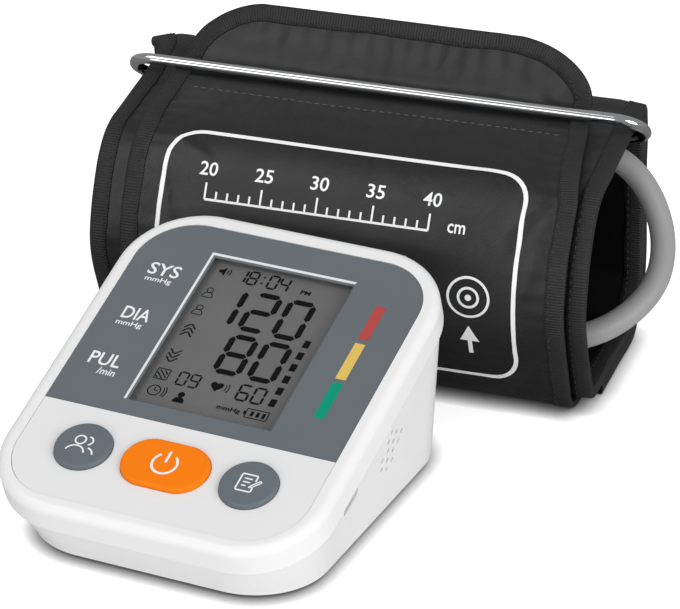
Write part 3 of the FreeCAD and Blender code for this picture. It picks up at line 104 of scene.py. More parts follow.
def points_at(path, length, at):
    """Points of a flat line at some distances along it."""
    return np.c_[tuple(np.interp(at, length, column) for column in path.T)]


def unit(way):
    """Directions, each made one long."""
    return way / np.linalg.norm(way, axis=-1, keepdims=True)


def to_left(way):
    """Flat directions, each turned a quarter against the clock."""
    return np.stack((-way[..., 1], way[..., 0]), axis=-1)


def arc(centre, radius, start, end, count=24):
    """Points on part of a circle, between two angles in degrees."""
    a = np.radians(np.linspace(start, end, count))
    return np.c_[centre[0] + radius * np.cos(a), centre[1] + radius * np.sin(a)]


print("a quarter to the left of (1, 0):", to_left(np.array((1, 0))))

# %% [markdown]
# ## Camera
# A long lens from a metre away keeps the near and far edges close to parallel, as in a product
# picture. A camera's place and the direction it looks are enough: the roll is zero.

# %% Camera
CAMERA_AT = (434.40, -885.75, 538.90)
CAMERA_LOOKS = (-0.3787, 0.8078, -0.4517)
CAMERA_LENS = 198.5

camera = linked("camera", bpy.data.cameras.new("camera"))
camera.data.lens = CAMERA_LENS
camera.data.sensor_width = 36.0
aim(camera, MM * Vector(CAMERA_AT), CAMERA_LOOKS)
scene.camera = camera
print("camera elevation", round(math.degrees(math.asin(-CAMERA_LOOKS[2])), 1), "degrees")

# %% [markdown]
# ## Air hose
# The rubber hose leaves an elbow inside the roll, loops out past the cuff's right end and goes
# back in, where the rest is folded flat for storage: two turns with a band round them, and the
# plug at the end. A smooth spline with a round bevel needs only a few listed points, and
# the turns of the stored part are worked out. The curve is made a mesh in the end, together
# with the points that it follows, so that its size can be measured like any other piece's.

# %% Hose route
HOSE_R = 3.8
HOSE_ROUTE = [
    (-27.9, 31.0, 68.1),
    (-10.9, 32.0, 70.3),
    (4.4, 31.1, 62.3),
    (13.9, 25.1, 45.6),
    (13.8, 9.6, 32.8),
    (-2.4, -7.5, 23.6),
    (-30.4, -6.7, 22.0),
    (-55.0, 0.35, 19.25),
    (-76.0, 0.35, 19.25),
]
HANK_FRONT, HANK_BACK = (1.9, 11.3), (46.9, 20.1)
HANK_S = (-126.0, -76.0)
HANK_PILE = 8.1
PLUG_START = -105.0
FOLD_STEP = 30.0                    # each control point of a fold turns the hose this much


def hank_points():
    """Two flat turns, from the upper front run to the lower back run.

    A control point of a fold lies where two tangents of its half circle meet, a step apart.
    The right fold also comes down from the upper turn to the lower, evenly along its turn."""
    wide = math.dist(HANK_FRONT, HANK_BACK)
    across = (np.array(HANK_BACK) - HANK_FRONT) / wide
    upward = np.array((-across[1], across[0]))
    radius = wide / 2
    turn = np.radians(np.arange(FOLD_STEP / 2, 180.0, FOLD_STEP))
    reach = radius / math.cos(math.radians(FOLD_STEP / 2))
    lead = radius * math.tan(math.radians(FOLD_STEP / 2))
    along, cross, level = [], [], []
    for side, high, low, forward in ((0, 1.0, 1.0, 1), (1, 1.0, 0.0, -1), (0, 0.0, 0.0, 1)):
        sign = -1 if side == 0 else 1
        start = HANK_S[side] - sign * lead
        along += [start, *(HANK_S[side] + sign * reach * np.sin(turn)), start]
        mid = radius - forward * reach * np.cos(turn)
        first, last = (0.0, wide) if forward == 1 else (wide, 0.0)
        cross += [first, *mid, last]
        level += list(np.linspace(high, low, len(turn) + 2))
    along.append(PLUG_START)
    cross.append(wide)
    level.append(0.0)
    cross, level = np.array(cross), HANK_PILE * np.array(level)
    v = HANK_FRONT[0] + across[0] * cross + upward[0] * level
    h = HANK_FRONT[1] + across[1] * cross + upward[1] * level
    return np.c_[along, v, h]


hose_points = np.concatenate((np.array(HOSE_ROUTE), hank_points()))
print(len(hose_points), "control points")

# %% Hose curve
hose_curve = bpy.data.curves.new("air_hose", "CURVE")
hose_curve.dimensions = "3D"
hose_curve.bevel_depth = MM * HOSE_R
hose_curve.bevel_resolution = 8
hose_curve.resolution_u = 10
hose_curve.use_fill_caps = True
spline = hose_curve.splines.new("NURBS")
spline.points.add(len(hose_points) - 1)
spline.points.foreach_set("co", np.c_[on_cuff(*hose_points.T), np.ones(len(hose_points))].ravel())
spline.order_u = 3
spline.use_endpoint_u = True
bent = linked("bent_hose", hose_curve)
tube = bpy.data.meshes.new_from_object(bent)
tube.name = "air_hose"
hose_curve.bevel_depth = 0.0
line = bpy.data.meshes.new_from_object(bent)
centres = np.empty(3 * len(line.vertices))
line.vertices.foreach_get("co", centres)
bpy.data.objects.remove(bent)
bpy.data.meshes.remove(line)
hose = linked("air_hose", tube)
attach(hose, "root")
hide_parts("hose_tube", "hose_hank")
on_cuff(*HOSE_ROUTE[0])
print("hose", len(tube.vertices), "points along", len(centres) // 3, "centres")

# %% [markdown]
# ## Shader helpers
# Moulded plastic is smooth at arm's length, yet a perfectly even surface looks like a drawing.
# Three effects are shared by many finishes: the fine grain of a mould, the diagonal lines of a
# woven twill, and the ribs of a binding tape. Each is a node group, built once, that gives
# out a colour, a roughness or a normal. The shader itself stays in each material.

# %% Node helpers
METRE = 1.0


def grey(level):
    """Linear value of an 8-bit grey level."""
    return ((level / 255 + 0.055) / 1.055) ** 2.4


def tint(red, green, blue):
    """Linear colour of three 8-bit levels, as a node socket takes it."""
    return (grey(red), grey(green), grey(blue), 1.0)


def add(tree, kind, inputs=None, **settings):
    """Node of a kind. An input is given a value, or linked to another node's output."""
    made = tree.nodes.new(kind)
    for name, value in settings.items():
        setattr(made, name, value)
    for key, value in (inputs or {}).items():
        if isinstance(value, bpy.types.NodeSocket):
            tree.links.new(value, made.inputs[key])
        else:
            made.inputs[key].default_value = value
    return made


def maths(tree, operation, first, second=0.0):
    """Output of one sum on two values."""
    return add(tree, "ShaderNodeMath", {0: first, 1: second}, operation=operation).outputs[0]


def shaded(tree, colour, amount):
    """Colour made lighter or darker: each channel times an amount."""
    return add(tree, "ShaderNodeVectorMath", {0: colour, "Scale": amount},
               operation="SCALE").outputs[0]


def noise(tree, place, waves, detail, **more):
    """Noise with so many waves per metre."""
    inputs = {"Vector": place, "Scale": waves, "Detail": detail, **more}
    return add(tree, "ShaderNodeTexNoise", inputs).outputs["Fac"]


def spread(tree, value, low, high):
    """Noise, which lies mostly from 0.3 to 0.7, spread evenly from low to high."""
    return add(tree, "ShaderNodeMapRange", {0: value, 1: 0.3, 2: 0.7, 3: low, 4: high}).outputs[0]


def toned(tree, given, swing):
    """Colour times 1 + swing * tone."""
    factor = maths(tree, "ADD", maths(tree, "MULTIPLY", swing, given["Tone"]), 1.0)
    return shaded(tree, given["Colour"], factor)


def bumped(tree, height, depth, **more):
    """Normal of a surface that rises by a height times a depth in metres."""
    return add(tree, "ShaderNodeBump", {"Height": height, "Distance": depth, **more}).outputs["Normal"]


def cloth_map(tree):
    """Place on the cloth's own flat map, then its two parts."""
    flat = add(tree, "ShaderNodeUVMap", uv_map="cloth").outputs["UV"]
    parts = add(tree, "ShaderNodeSeparateXYZ", {0: flat}).outputs
    return flat, parts["X"], parts["Y"]


def new_socket(tree, name, way):
    """Socket of a group, INPUT or OUTPUT, whose kind goes with its name."""
    kind = "NodeSocket" + {"Colour": "Color", "Normal": "Vector"}.get(name, "Float")
    return tree.interface.new_socket(name, in_out=way, socket_type=kind)


def new_group(name, **usual):
    """Shader group with its named inputs, each at its usual value."""
    tree = bpy.data.node_groups.new(name, "ShaderNodeTree")
    for socket, value in usual.items():
        new_socket(tree, socket, "INPUT").default_value = value
    return tree, tree.nodes.new("NodeGroupInput").outputs


def put_out(tree, **results):
    """The group, ended with a named output for each result."""
    for name in results:
        new_socket(tree, name, "OUTPUT")
    end = tree.nodes.new("NodeGroupOutput").inputs
    for name, result in results.items():
        tree.links.new(result, end[name])
    return tree


print("sRGB 128 is linear", round(grey(128), 3))

# %% Grain of moulded plastic and metal


def moulded_grain():
    """Colour: slow noise shades it a little. Roughness: the same noise, added. Normal: a bump
    of fine noise, whose size and depth are given in metres."""
    tree, given = new_group("moulded_grain", Colour=(1, 1, 1, 1), Tone=0.03, Roughness=0.4,
                            Unevenness=0.05, Grain=0.0004, Depth=0.00001)
    place = add(tree, "ShaderNodeTexCoord").outputs["Object"]
    swing = spread(tree, noise(tree, place, 45.0, 3.0), -1.0, 1.0)
    fine = noise(tree, place, maths(tree, "DIVIDE", METRE, given["Grain"]), 2.0)
    uneven = maths(tree, "MULTIPLY", swing, given["Unevenness"])
    return put_out(tree, Colour=toned(tree, given, swing),
                   Roughness=maths(tree, "ADD", given["Roughness"], uneven),
                   Normal=bumped(tree, fine, given["Depth"]))


GRAIN = moulded_grain()

# %% Weave of the nylon


def woven_twill():
    """Height: a sine along the diagonal of the cloth's own map, which is in metres, so that a
    wale rises every pitch, plus a finer sine across it for the single threads. Slow noise
    varies the colour at random and lifts soft creases under the wales. The colour is also
    painted lighter on the wales and darker between them: painted shade of the weave."""
    tree, given = new_group("woven_twill", Colour=(1, 1, 1, 1), Pitch=0.0006, Tone=0.1,
                            Depth=0.00003, Creases=0.0004)
    flat, x, y = cloth_map(tree)
    turns = maths(tree, "DIVIDE", 2 * math.pi, given["Pitch"])
    lean = maths(tree, "MULTIPLY", noise(tree, flat, 160.0, 1.0), 4.0)
    along = maths(tree, "MULTIPLY", maths(tree, "ADD", x, y), turns)
    across = maths(tree, "MULTIPLY", maths(tree, "SUBTRACT", x, y), turns)
    wale = maths(tree, "SINE", maths(tree, "ADD", along, lean))
    threads = maths(tree, "SINE", maths(tree, "MULTIPLY", across, 2.0))
    height = maths(tree, "ADD", wale, maths(tree, "MULTIPLY", threads, 0.35))
    slow = noise(tree, flat, 38.0, 4.0, Distortion=0.5)
    # Tone at random from the slow noise, plus painted shade: lighter on each wale, darker between.
    swing = maths(tree, "ADD", spread(tree, slow, -1.0, 1.0), maths(tree, "MULTIPLY", wale, 0.8))
    creased = bumped(tree, slow, given["Creases"])
    return put_out(tree, Colour=toned(tree, given, swing),
                   Normal=bumped(tree, height, given["Depth"], Normal=creased))


TWILL = woven_twill()

# %% Ribs of the tape


def ribbed_tape():
    """Height: a sine along the tape's own length, so that a rib lies across it every pitch,
    roughened by noise. Colour: painted shade of the ribs, lighter on their tops and darker in
    the grooves between them, with slow noise that varies it at random."""
    tree, given = new_group("ribbed_tape", Colour=(1, 1, 1, 1), Pitch=0.0009, Tone=0.2,
                            Depth=0.00006)
    flat, _, y = cloth_map(tree)
    turns = maths(tree, "DIVIDE", 2 * math.pi, given["Pitch"])
    wave = maths(tree, "SINE", maths(tree, "MULTIPLY", y, turns))
    height = maths(tree, "ADD", wave, spread(tree, noise(tree, flat, 1400.0, 2.0), -0.7, 0.7))
    # Painted shade of the ribs: lighter tops and darker grooves, plus tone at random from slow noise.
    swing = maths(tree, "ADD", maths(tree, "MULTIPLY", height, 0.6),
                  spread(tree, noise(tree, flat, 60.0, 2.0), -0.7, 0.7))
    return put_out(tree, Colour=toned(tree, given, swing),
                   Normal=bumped(tree, height, given["Depth"]))


RIBS = ribbed_tape()
print("groups:", [tree.name for tree in (GRAIN, TWILL, RIBS)])

# %% [markdown]
# ## Finishes of the hard pieces
# The case is satin white plastic, the front panel slate grey with a soft gloss, and the power
# button a brighter, smoother orange. The ring is chromed wire, so it is nothing but its
# reflections. Pieces inside are seen only through gaps, but each has its own finish too.

# %% Finish helpers
GOES_TO = {"Colour": "Base Color", "Roughness": "Roughness", "Normal": "Normal"}


def new_material(name):
    """Material, its nodes' tree and its shader."""
    material = bpy.data.materials.new(name)
    material.use_nodes = True
    return material, material.node_tree, material.node_tree.nodes["Principled BSDF"]


def dressed(name, group, effect_values, plain):
    """Material whose shader takes what an effect puts out. plain sets sockets of the shader
    that are the same all over."""
    material, tree, shader = new_material(name)
    effect = add(tree, "ShaderNodeGroup", effect_values, node_tree=group)
    for result in effect.outputs:
        tree.links.new(result, shader.inputs[GOES_TO[result.name]])
    for socket, value in plain.items():
        shader.inputs[socket].default_value = value
    return material


def finish(name, levels, roughness, tone=0.02, grain=0.4, depth=0.006, metallic=0.0, shine=0.5,
           plain=None):
    """Material with the moulded grain. The levels of its colour are 8-bit, and the size and
    depth of the grain are in millimetres."""
    return dressed(name, GRAIN, {"Colour": tint(*levels), "Tone": tone, "Roughness": roughness,
                                 "Grain": MM * grain, "Depth": MM * depth},
                   {"Metallic": metallic, "Specular IOR Level": shine, **(plain or {})})


# %% Hard finishes
HARD = {                            # 8-bit colour, roughness, and what differs from a plain finish
    "case_white": ((237, 237, 237), 0.38, {"tone": 0.008, "shine": 0.4}),
    "panel_grey": ((102, 109, 114), 0.38, {"tone": 0.012, "shine": 0.3}),
    "panel_pale": ((231, 231, 232), 0.34, {"tone": 0.008, "shine": 0.4}),
    "button_grey": ((100, 109, 116), 0.42, {"depth": 0.01, "shine": 0.3}),
    "button_orange": ((250, 127, 0), 0.42, {"tone": 0.01, "shine": 0.12}),
    "lens_clear": ((40, 40, 41), 0.08, {"tone": 0.0, "depth": 0.0, "plain": {"Alpha": 0.03}}),
    "lcd_grey": ((112, 112, 112), 0.4, {"tone": 0.035, "depth": 0.0, "shine": 0.15}),
    "tray_dark": ((60, 60, 62), 0.5, {}),
    "contact_rubber": ((190, 150, 150), 0.7, {}),
    "board_green": ((28, 92, 52), 0.35, {"tone": 0.06}),
    "chip_black": ((32, 32, 33), 0.45, {}),
    "steel": ((196, 197, 199), 0.35, {"metallic": 1.0}),
    "nickel": ((214, 212, 208), 0.22, {"metallic": 1.0}),
    "motor_steel": ((188, 189, 190), 0.4, {"metallic": 1.0, "tone": 0.05}),
    "pump_plastic": ((58, 58, 60), 0.5, {}),
    "tube_rubber": ((214, 214, 210), 0.45,
                    {"plain": {"Subsurface Weight": 0.2, "Subsurface Scale": 0.002}}),
    "foot_rubber": ((70, 70, 72), 0.75, {"tone": 0.06, "depth": 0.02}),
    "cell_wrap": ((70, 76, 88), 0.3, {"plain": {"Coat Weight": 0.5}}),
    "ring_chrome": ((214, 215, 217), 0.1,
                    {"metallic": 1.0, "tone": 0.01, "grain": 1.5, "depth": 0.004}),
    "elbow_plastic": ((42, 42, 44), 0.45, {"tone": 0.04}),
    "hose_grey": ((150, 150, 151), 0.42,
                  {"depth": 0.012, "shine": 0.35, "plain": {"Sheen Weight": 0.15}}),
    "plug_grey": ((118, 118, 121), 0.4, {"tone": 0.03}),
}
hard = {slot: finish(slot, levels, roughness, **more)
        for slot, (levels, roughness, more) in HARD.items()}
for node in nodes.values():
    slot = node.data.materials[0].name
    if slot in hard:
        node.data.materials[0] = hard[slot]
hose.data.materials.append(hard["hose_grey"])
print(len(hard), "hard finishes")

# %% [markdown]
# ## Mesh helpers
# The cloth pieces are grids of points that formulas give. A few small functions turn such grids
# into meshes: three make the faces of a grid, of a wall and of a closed shell, and one puts
# points, faces and the cloth's own flat map into a mesh and lets it ride on a body.

# %% Grids to meshes


def grid_faces(rows, columns, start=0, turned=False):
    """Quads of a grid whose point numbers run along the columns first."""
    corner = start + (np.arange(rows - 1)[:, None] * columns + np.arange(columns - 1)).ravel()
    quads = np.stack((corner, corner + columns, corner + columns + 1, corner + 1), axis=-1)
    return quads[:, ::-1] if turned else quads


def wall_faces(loop, size):
    """Quads from a closed loop of points to the same loop, size numbers further on."""
    after = np.roll(loop, -1)
    return np.stack((loop, after, after + size, loop + size), axis=-1)


def shell_faces(rows, columns):
    """Quads of an outer grid, an inner grid behind it, and the rim between the two."""
    size = rows * columns
    index = np.arange(size).reshape(rows, columns)
    rim = np.concatenate((index[0, :-1], index[:-1, -1], index[-1, :0:-1], index[:0:-1, 0]))
    return np.concatenate((grid_faces(rows, columns), grid_faces(rows, columns, size, True),
                           wall_faces(rim, size)))


def new_piece(name, points, faces, materials, body="root", flat=None, chosen=None):
    """Mesh object that rides on a body. flat gives each point's place on the uncut cloth in
    millimetres, and chosen the number of each face's material."""
    mesh = bpy.data.meshes.new(name)
    mesh.from_pydata(np.asarray(points).reshape(-1, 3).tolist(), [], [list(f) for f in faces])
    mesh.polygons.foreach_set("use_smooth", np.ones(len(mesh.polygons), bool))
    for material in materials:
        mesh.materials.append(material)
    if flat is not None:
        corners = np.empty(len(mesh.loops), int)
        mesh.loops.foreach_get("vertex_index", corners)
        layer = mesh.uv_layers.new(name="cloth")
        layer.data.foreach_set("uv", (MM * np.asarray(flat).reshape(-1, 2))[corners].ravel())
    if chosen is not None:
        mesh.polygons.foreach_set("material_index", np.asarray(chosen, int))
    mesh.update()
    piece = linked(name, mesh)
    if body:
        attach(piece, body)
    return piece


# %% [markdown]
# ## The roll's two lines
# Seen from its end, the cuff is two lines wrapped round each other. The full-width strip starts
# at a seam on the table, goes up the back, and makes one more turn inside. The narrower printed
# panel starts at the same seam, comes up the front and over the top, and stands up as a flap.
# Straight runs joined by arcs describe both, and any point near the cloth is then a place
# along the line, a place along the cuff, and a height above the cloth.

# %% Lines of the cloth
CUFF_W, STRIP_T, ROLL_GAP = 155.0, 2.4, 1.2
PANEL_T = 1.3
FLAP_TIP = (45.3, 96.8)
ROLL = [(35.0, 79.8), (-11.7, 75.0), (-27.7, 42.0), (-9.5, 0.0)]
ROLL_R = [8.0, 24.0, 36.0, 12.0]
SEAM = (6.0, 0.0)
BACK = [(46.0, 0.0), (58.5, 14.0), (51.5, 79.0)]
BACK_R = [9.0, 12.0, 4.2]
ROLL_END = 42.7
TOP_ENDS_V, FRONT_STARTS_T = -20.0, 60.0


def moved_in(corners, depth):
    """Inner corners of a chain whose runs are each moved to their left by a depth."""
    corners = np.asarray(corners, float)
    way = unit(np.diff(corners, axis=0))
    start = corners[:-1] + depth * to_left(way)
    gap = start[1:] - start[:-1]
    turn = way[:-1, 0] * way[1:, 1] - way[:-1, 1] * way[1:, 0]
    reach = (gap[:, 0] * way[1:, 1] - gap[:, 1] * way[1:, 0]) / turn
    return start[:-1] + way[:-1] * reach[:, None]


def cloth_line(corners, radii, step=0.25):
    """Even points along straight runs joined by arcs, with a unit normal to their right.

    An arc of turn A and radius R starts R tan(A/2) before its corner. Its point at angle a is
    R sin(a) ahead and R (1 - cos(a)) towards the side that the line turns to."""
    corners = np.asarray(corners, float)
    rough = [corners[:1]]
    for before, corner, after, radius in zip(corners, corners[1:], corners[2:], radii):
        ahead, then = unit(corner - before), unit(after - corner)
        side = np.sign(ahead[0] * then[1] - ahead[1] * then[0])
        turn = math.acos(float(np.clip(ahead @ then, -1.0, 1.0)))
        a = np.linspace(0.0, turn, 25)[:, None]
        start = corner - ahead * radius * math.tan(turn / 2)
        square = side * to_left(ahead)
        rough.append(start + radius * (np.sin(a) * ahead + (1 - np.cos(a)) * square))
    rough = np.concatenate(rough + [corners[-1:]])
    length = so_far(rough)
    t = np.linspace(0.0, length[-1], int(length[-1] / step) + 1)
    line = points_at(rough, length, t)
    way = unit(np.gradient(line, t, axis=0))
    return {"t": t, "v": line[:, 0], "h": line[:, 1], "out_v": way[:, 1], "out_h": -way[:, 0],
            "length": length[-1]}


def strip_line():
    """Line of the full-width strip's outer face, with the turn inside."""
    turn = STRIP_T + ROLL_GAP
    front = moved_in(ROLL + BACK[:1], turn)
    back = moved_in([ROLL[3], *BACK, tuple(front[0])], turn)
    fall = (front[0][1] - BACK[2][1]) / (front[0][0] - BACK[2][0])
    end = (ROLL_END, back[2][1] + (ROLL_END - back[2][0]) * fall)
    inner = [max(r - turn, STRIP_T + 1.0) for r in ROLL_R[1:] + BACK_R]
    return cloth_line([SEAM, *BACK, *front, *back, end], BACK_R + inner)


PANEL = cloth_line([FLAP_TIP, *ROLL, SEAM], ROLL_R)
STRIP = strip_line()


def lay(line, s, t, d):
    """Point s along the cuff and t along a line of cloth, d above its outer face."""
    s, t, d = np.broadcast_arrays(s, t, d)
    v, h, out_v, out_h = (np.interp(t, line["t"], line[key]) for key in ("v", "h", "out_v", "out_h"))
    return on_cuff(s, v + d * out_v, h + d * out_h)


def panel_t(v=None, h=None):
    """Place along the panel's line of a place back on its top, or of a height on its front."""
    if v is not None:
        top = slice(int(np.argmax(PANEL["v"] < TOP_ENDS_V)))
        return float(np.interp(-v, -PANEL["v"][top], PANEL["t"][top]))
    front = PANEL["t"] > FRONT_STARTS_T
    return float(np.interp(-h, -PANEL["h"][front], PANEL["t"][front]))


print("panel", round(PANEL["length"], 1), "mm, strip", round(STRIP["length"], 1), "mm")

# %% [markdown]
# ## Woven cuff
# The cloth is black nylon twill with an air bag sewn inside, so it is never quite flat: it
# bellies out between its bindings, puckers where the thread pulls, and shows drag folds near
# the corners. A cloth simulation would roll it up differently each time its sizes change. A
# height that is added to the smooth line is steadier: each cause above is one term of it.

# %% Terms of the cloth's height


def smooth(x, low, high):
    """0 up to low, 1 from high on, and an S-shaped rise between them."""
    share = np.clip((x - low) / (high - low), 0.0, 1.0)
    return share * share * (3 - 2 * share)


def puckers(gap, along, pitch, height, reach, phase=0.0):
    """Waves along a stitched edge, which fade with the gap from it as exp(-gap / reach)."""
    wave = np.sin(2 * math.pi * along / pitch + phase + 1.4 * np.sin(along / (1.7 * pitch)))
    return height * wave * np.exp(-np.abs(gap) / reach) * smooth(gap, -2.0, 1.5)


def fold(s, t, start, end, width, height):
    """Ridge along a line: exp(-(distance / width)^2), which dies away at both ends."""
    way = np.subtract(end, start)
    share = ((s - start[0]) * way[0] + (t - start[1]) * way[1]) / (way @ way)
    near = np.clip(share, 0.0, 1.0)
    away = (s - start[0] - near * way[0]) ** 2 + (t - start[1] - near * way[1]) ** 2
    return height * np.exp(-away / width ** 2) * (1 - (2 * near - 1) ** 4)


# %% Outline and height of the printed panel
TAPE_W, TAPE_T = 5.5, 0.4
FLAP_LEFT = (-144.3, 22.0, 28.0)                # straight edge, where its curve starts, its width
FLAP_RIGHT = (-14.0, panel_t(v=35.5), 30.0)
PANEL_SIDES = (-143.8, -5.5)
PANEL_TOP = panel_t(v=-11.7)
HEM = panel_t(v=18.5)                           # a seam runs across the panel here
FOLDS = [                                       # from (s, t), to (s, t), width, height
    ((-13.0, 66.0), (-27.0, 82.0), 1.7, 0.55), ((-14.0, 71.0), (-24.0, 89.0), 1.3, -0.45),
    ((-12.5, 80.0), (-19.0, 100.0), 1.6, 0.45), ((-30.0, 60.0), (-48.0, 66.0), 2.2, 0.3),
    ((-13.0, 116.0), (-31.0, 138.0), 2.6, 0.7), ((-12.5, 124.0), (-26.0, 144.0), 1.8, -0.5),
    ((-15.0, 104.0), (-22.0, 121.0), 1.6, 0.4), ((-132.0, 90.0), (-123.0, 116.0), 2.0, 0.5),
    ((-133.0, 62.0), (-117.0, 70.0), 1.8, 0.4), ((-133.0, 72.0), (-126.0, 96.0), 1.5, -0.4),
    ((-126.0, 12.0), (-36.0, 12.5), 3.2, 0.4), ((-118.0, 19.0), (-30.0, 19.5), 3.0, -0.45),
    ((-46.0, 8.5), (-24.0, 21.0), 1.7, 0.45), ((-58.0, 9.0), (-38.0, 20.0), 1.6, -0.3),
    ((-128.0, 14.0), (-112.0, 9.5), 1.6, 0.35), ((-100.0, 42.0), (-60.0, 47.0), 2.4, 0.3),
    ((-132.0, 44.0), (-118.0, 52.0), 1.8, 0.35), ((-36.0, 42.0), (-16.0, 54.0), 1.8, 0.3),
]


def panel_edges(t):
    """Left and right edge at places along the panel: upright sides, a slanting stretch over
    the top, and a quarter of an ellipse at each corner of the flap."""
    edges = []
    for (corner, start, axis), side, way in zip((FLAP_LEFT, FLAP_RIGHT), PANEL_SIDES, (1, -1)):
        bend = np.sqrt(1 - np.clip((start - t) / start, 0.0, 1.0) ** 2)
        edges.append(np.interp(t, (start, PANEL_TOP), (corner, side)) + way * axis * (1 - bend))
    return edges


def panel_swell(s, t):
    """Height of the panel's cloth above its smooth line."""
    left, right = panel_edges(t)
    gaps = s - left - TAPE_W, right - s - TAPE_W
    belly = 1 - np.exp(-np.clip(np.minimum(*gaps), 0.0, None) / 11.0)
    height = 1.1 * belly * smooth(t, 58.0, 88.0) * smooth(-t, -148.0, -120.0)
    height += 0.25 * belly * np.sin(s / 15.0 + 1.3 * np.sin(t / 19.0)) * np.sin(t / 12.0 + 0.8)
    for gap, phase in zip(gaps, (0.0, 2.0)):
        height += puckers(gap, t, 5.6, 0.22, 5.5, phase)
    height += puckers(t - TAPE_W, s, 6.4, 0.26, 5.5)
    height += puckers(np.abs(t - HEM), s, 5.2, 0.12, 3.5) - 0.22 * np.exp(-((t - HEM) / 0.9) ** 2)
    for start, end, width, rise in FOLDS:
        height += fold(s, t, start, end, width, rise)
    below_ring = smooth(t, 20.0, 24.0) * smooth(-t, -40.0, -34.0)
    return np.where(below_ring > 0, np.minimum(height, 0.5 - 0.25 * below_ring), height)


PANEL["swell"] = panel_swell
print("the belly stands", round(float(panel_swell(-70.0, np.array(100.0))), 2), "mm proud")

# %% [markdown]
# ## Finishes of the cloth
# Nylon twill is dark, with a soft gloss where its creases face the light. The lining is duller
# and darker, the hook tape is a field of tiny plastic hooks, and the binding is a ribbed
# grosgrain tape.

# %% Cloth finishes


def cloth_finish(name, effect, levels, roughness, shine, plain=None, **effect_values):
    """Material whose colour and normal come from a cloth effect on the cloth's own map."""
    return dressed(name, effect, {"Colour": tint(*levels), **effect_values},
                   {"Roughness": roughness, "Specular IOR Level": shine, **(plain or {})})


nylon = cloth_finish("cuff_fabric", TWILL, (24, 24, 25), 0.36, 0.6,
                     Pitch=0.0009, Tone=0.16, Depth=0.000018, Creases=0.0016)
lining = cloth_finish("lining_fabric", TWILL, (7, 7, 8), 0.7, 0.15,
                      Pitch=0.0007, Tone=0.12, Depth=0.00003, Creases=0.0009)
hooks = cloth_finish("loop_fabric", TWILL, (27, 27, 28), 0.8, 0.3,
                     {"Sheen Weight": 0.03, "Sheen Roughness": 0.35},
                     Pitch=0.0016, Tone=0.5, Depth=0.0003, Creases=0.0003)
grosgrain = cloth_finish("binding_tape", RIBS, (34, 34, 35), 0.6, 0.5,
                         Pitch=0.0009, Tone=0.22, Depth=0.00008)
thread = finish("stitch_thread", (50, 50, 51), 0.6, tone=0.1)
hem_thread = finish("hem_thread", (96, 96, 98), 0.6, tone=0.1)
print("cloth finishes:", [made.name for made in (nylon, lining, hooks, grosgrain)])

# %% Printed panel with its flap


def panel_grid(margin, first, last, columns):
    """Places on the panel, row by row: s from edge to edge, less a margin, and t, with short
    steps where the flap's corners are round."""
    bend = FLAP_RIGHT[1]
    round_rows = bend * (1 - np.cos(np.linspace(0.0, math.pi / 2, 22)[:-1]))
    t = np.concatenate((round_rows, np.arange(bend, PANEL["length"], 1.1), [PANEL["length"]]))
    t = np.concatenate(([first], t[(t > first) & (t < last)], [last]))
    left, right = panel_edges(t)
    share = np.linspace(0.0, 1.0, columns)
    s = (left + margin)[:, None] * (1 - share) + (right - margin)[:, None] * share
    return s, np.broadcast_to(t[:, None], s.shape)


def cloth_shell(line, s, t, outer, inner):
    """Points of a shell whose two faces are heights above a line of cloth, and their flat map."""
    points = np.concatenate([lay(line, s, t, d).reshape(-1, 3) for d in (outer, inner)])
    flat = np.tile(np.stack((s, t), axis=-1).reshape(-1, 2), (2, 1))
    return points, flat


s, t = panel_grid(0.0, 0.0, PANEL["length"], 124)
swell = panel_swell(s, t)
points, flat = cloth_shell(PANEL, s, t, swell, swell - PANEL_T)
panel = new_piece("cuff_panel", points, shell_faces(*s.shape), [nylon],
                  flat=flat)
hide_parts("closure_panel")
left, right = panel_edges(t[:, 0])

# %% Hook tape inside the flap
HOOK_T, HOOK_GAP, HOOK_RISE = 1.0, 0.1, 0.3     # the tape lies flatter than the cloth above it
s, t = panel_grid(TAPE_W, TAPE_W, panel_t(v=-4.0), 70)
swell = np.minimum(panel_swell(s, t), HOOK_RISE)
points, flat = cloth_shell(PANEL, s, t, swell - PANEL_T - HOOK_GAP, swell - PANEL_T - HOOK_T)
hook_tape = new_piece("hook_tape", points, shell_faces(*s.shape), [hooks],
                      flat=flat)
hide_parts("hook_patch")

# %% [markdown]
# ## Full-width strip
# The strip is one long closed shell: nylon outside, lining inside, the flat air bag between
# them. Where it turns over at the top of the back, its free left end stands up a little, as
# cloth does where nothing holds it down.

# %% Strip
LEFT_END, RIGHT_END = -CUFF_W, 0.0


def left_end(t):
    """Left edge of the strip: it sticks out 5 mm where the free back layer turns over."""
    return LEFT_END - 5.0 * smooth(t, 92.0, 117.0) * smooth(-t, -130.0, -124.0)


def strip_swell(s, t):
    """Height of the strip's outer face: a belly up the back, puckers along both bindings, slow
    waves, and the raised end at the top left."""
    gaps = s - left_end(t) - TAPE_W, RIGHT_END - s - TAPE_W
    belly = 1 - np.exp(-np.clip(np.minimum(*gaps), 0.0, None) / 12.0)
    free = smooth(t, 52.0, 70.0) * smooth(-t, -122.0, -106.0)
    height = 1.3 * belly * free
    height += 0.3 * belly * free * np.sin(s / 13.0 + np.sin(t / 17.0)) * np.sin(t / 10.0)
    height += 0.12 * belly * np.sin(s / 9.0) * np.sin(t / 13.0) * smooth(t, 125.0, 140.0)
    for gap, phase in zip(gaps, (1.0, 3.0)):
        height += puckers(gap, t, 5.9, 0.14, 5.0, phase) * smooth(t, 45.0, 60.0)
    raised = smooth(-s, 134.0, 148.0) * (1 - 0.8 * smooth(-s, 150.0, 161.0)) \
        * smooth(t, 106.0, 120.0) * smooth(-t, -141.0, -129.0)
    at_right = smooth(s, -9.0, -1.0) * smooth(t, 110.0, 121.0) * smooth(-t, -134.0, -124.0)
    return height + 3.0 * raised - 0.8 * at_right


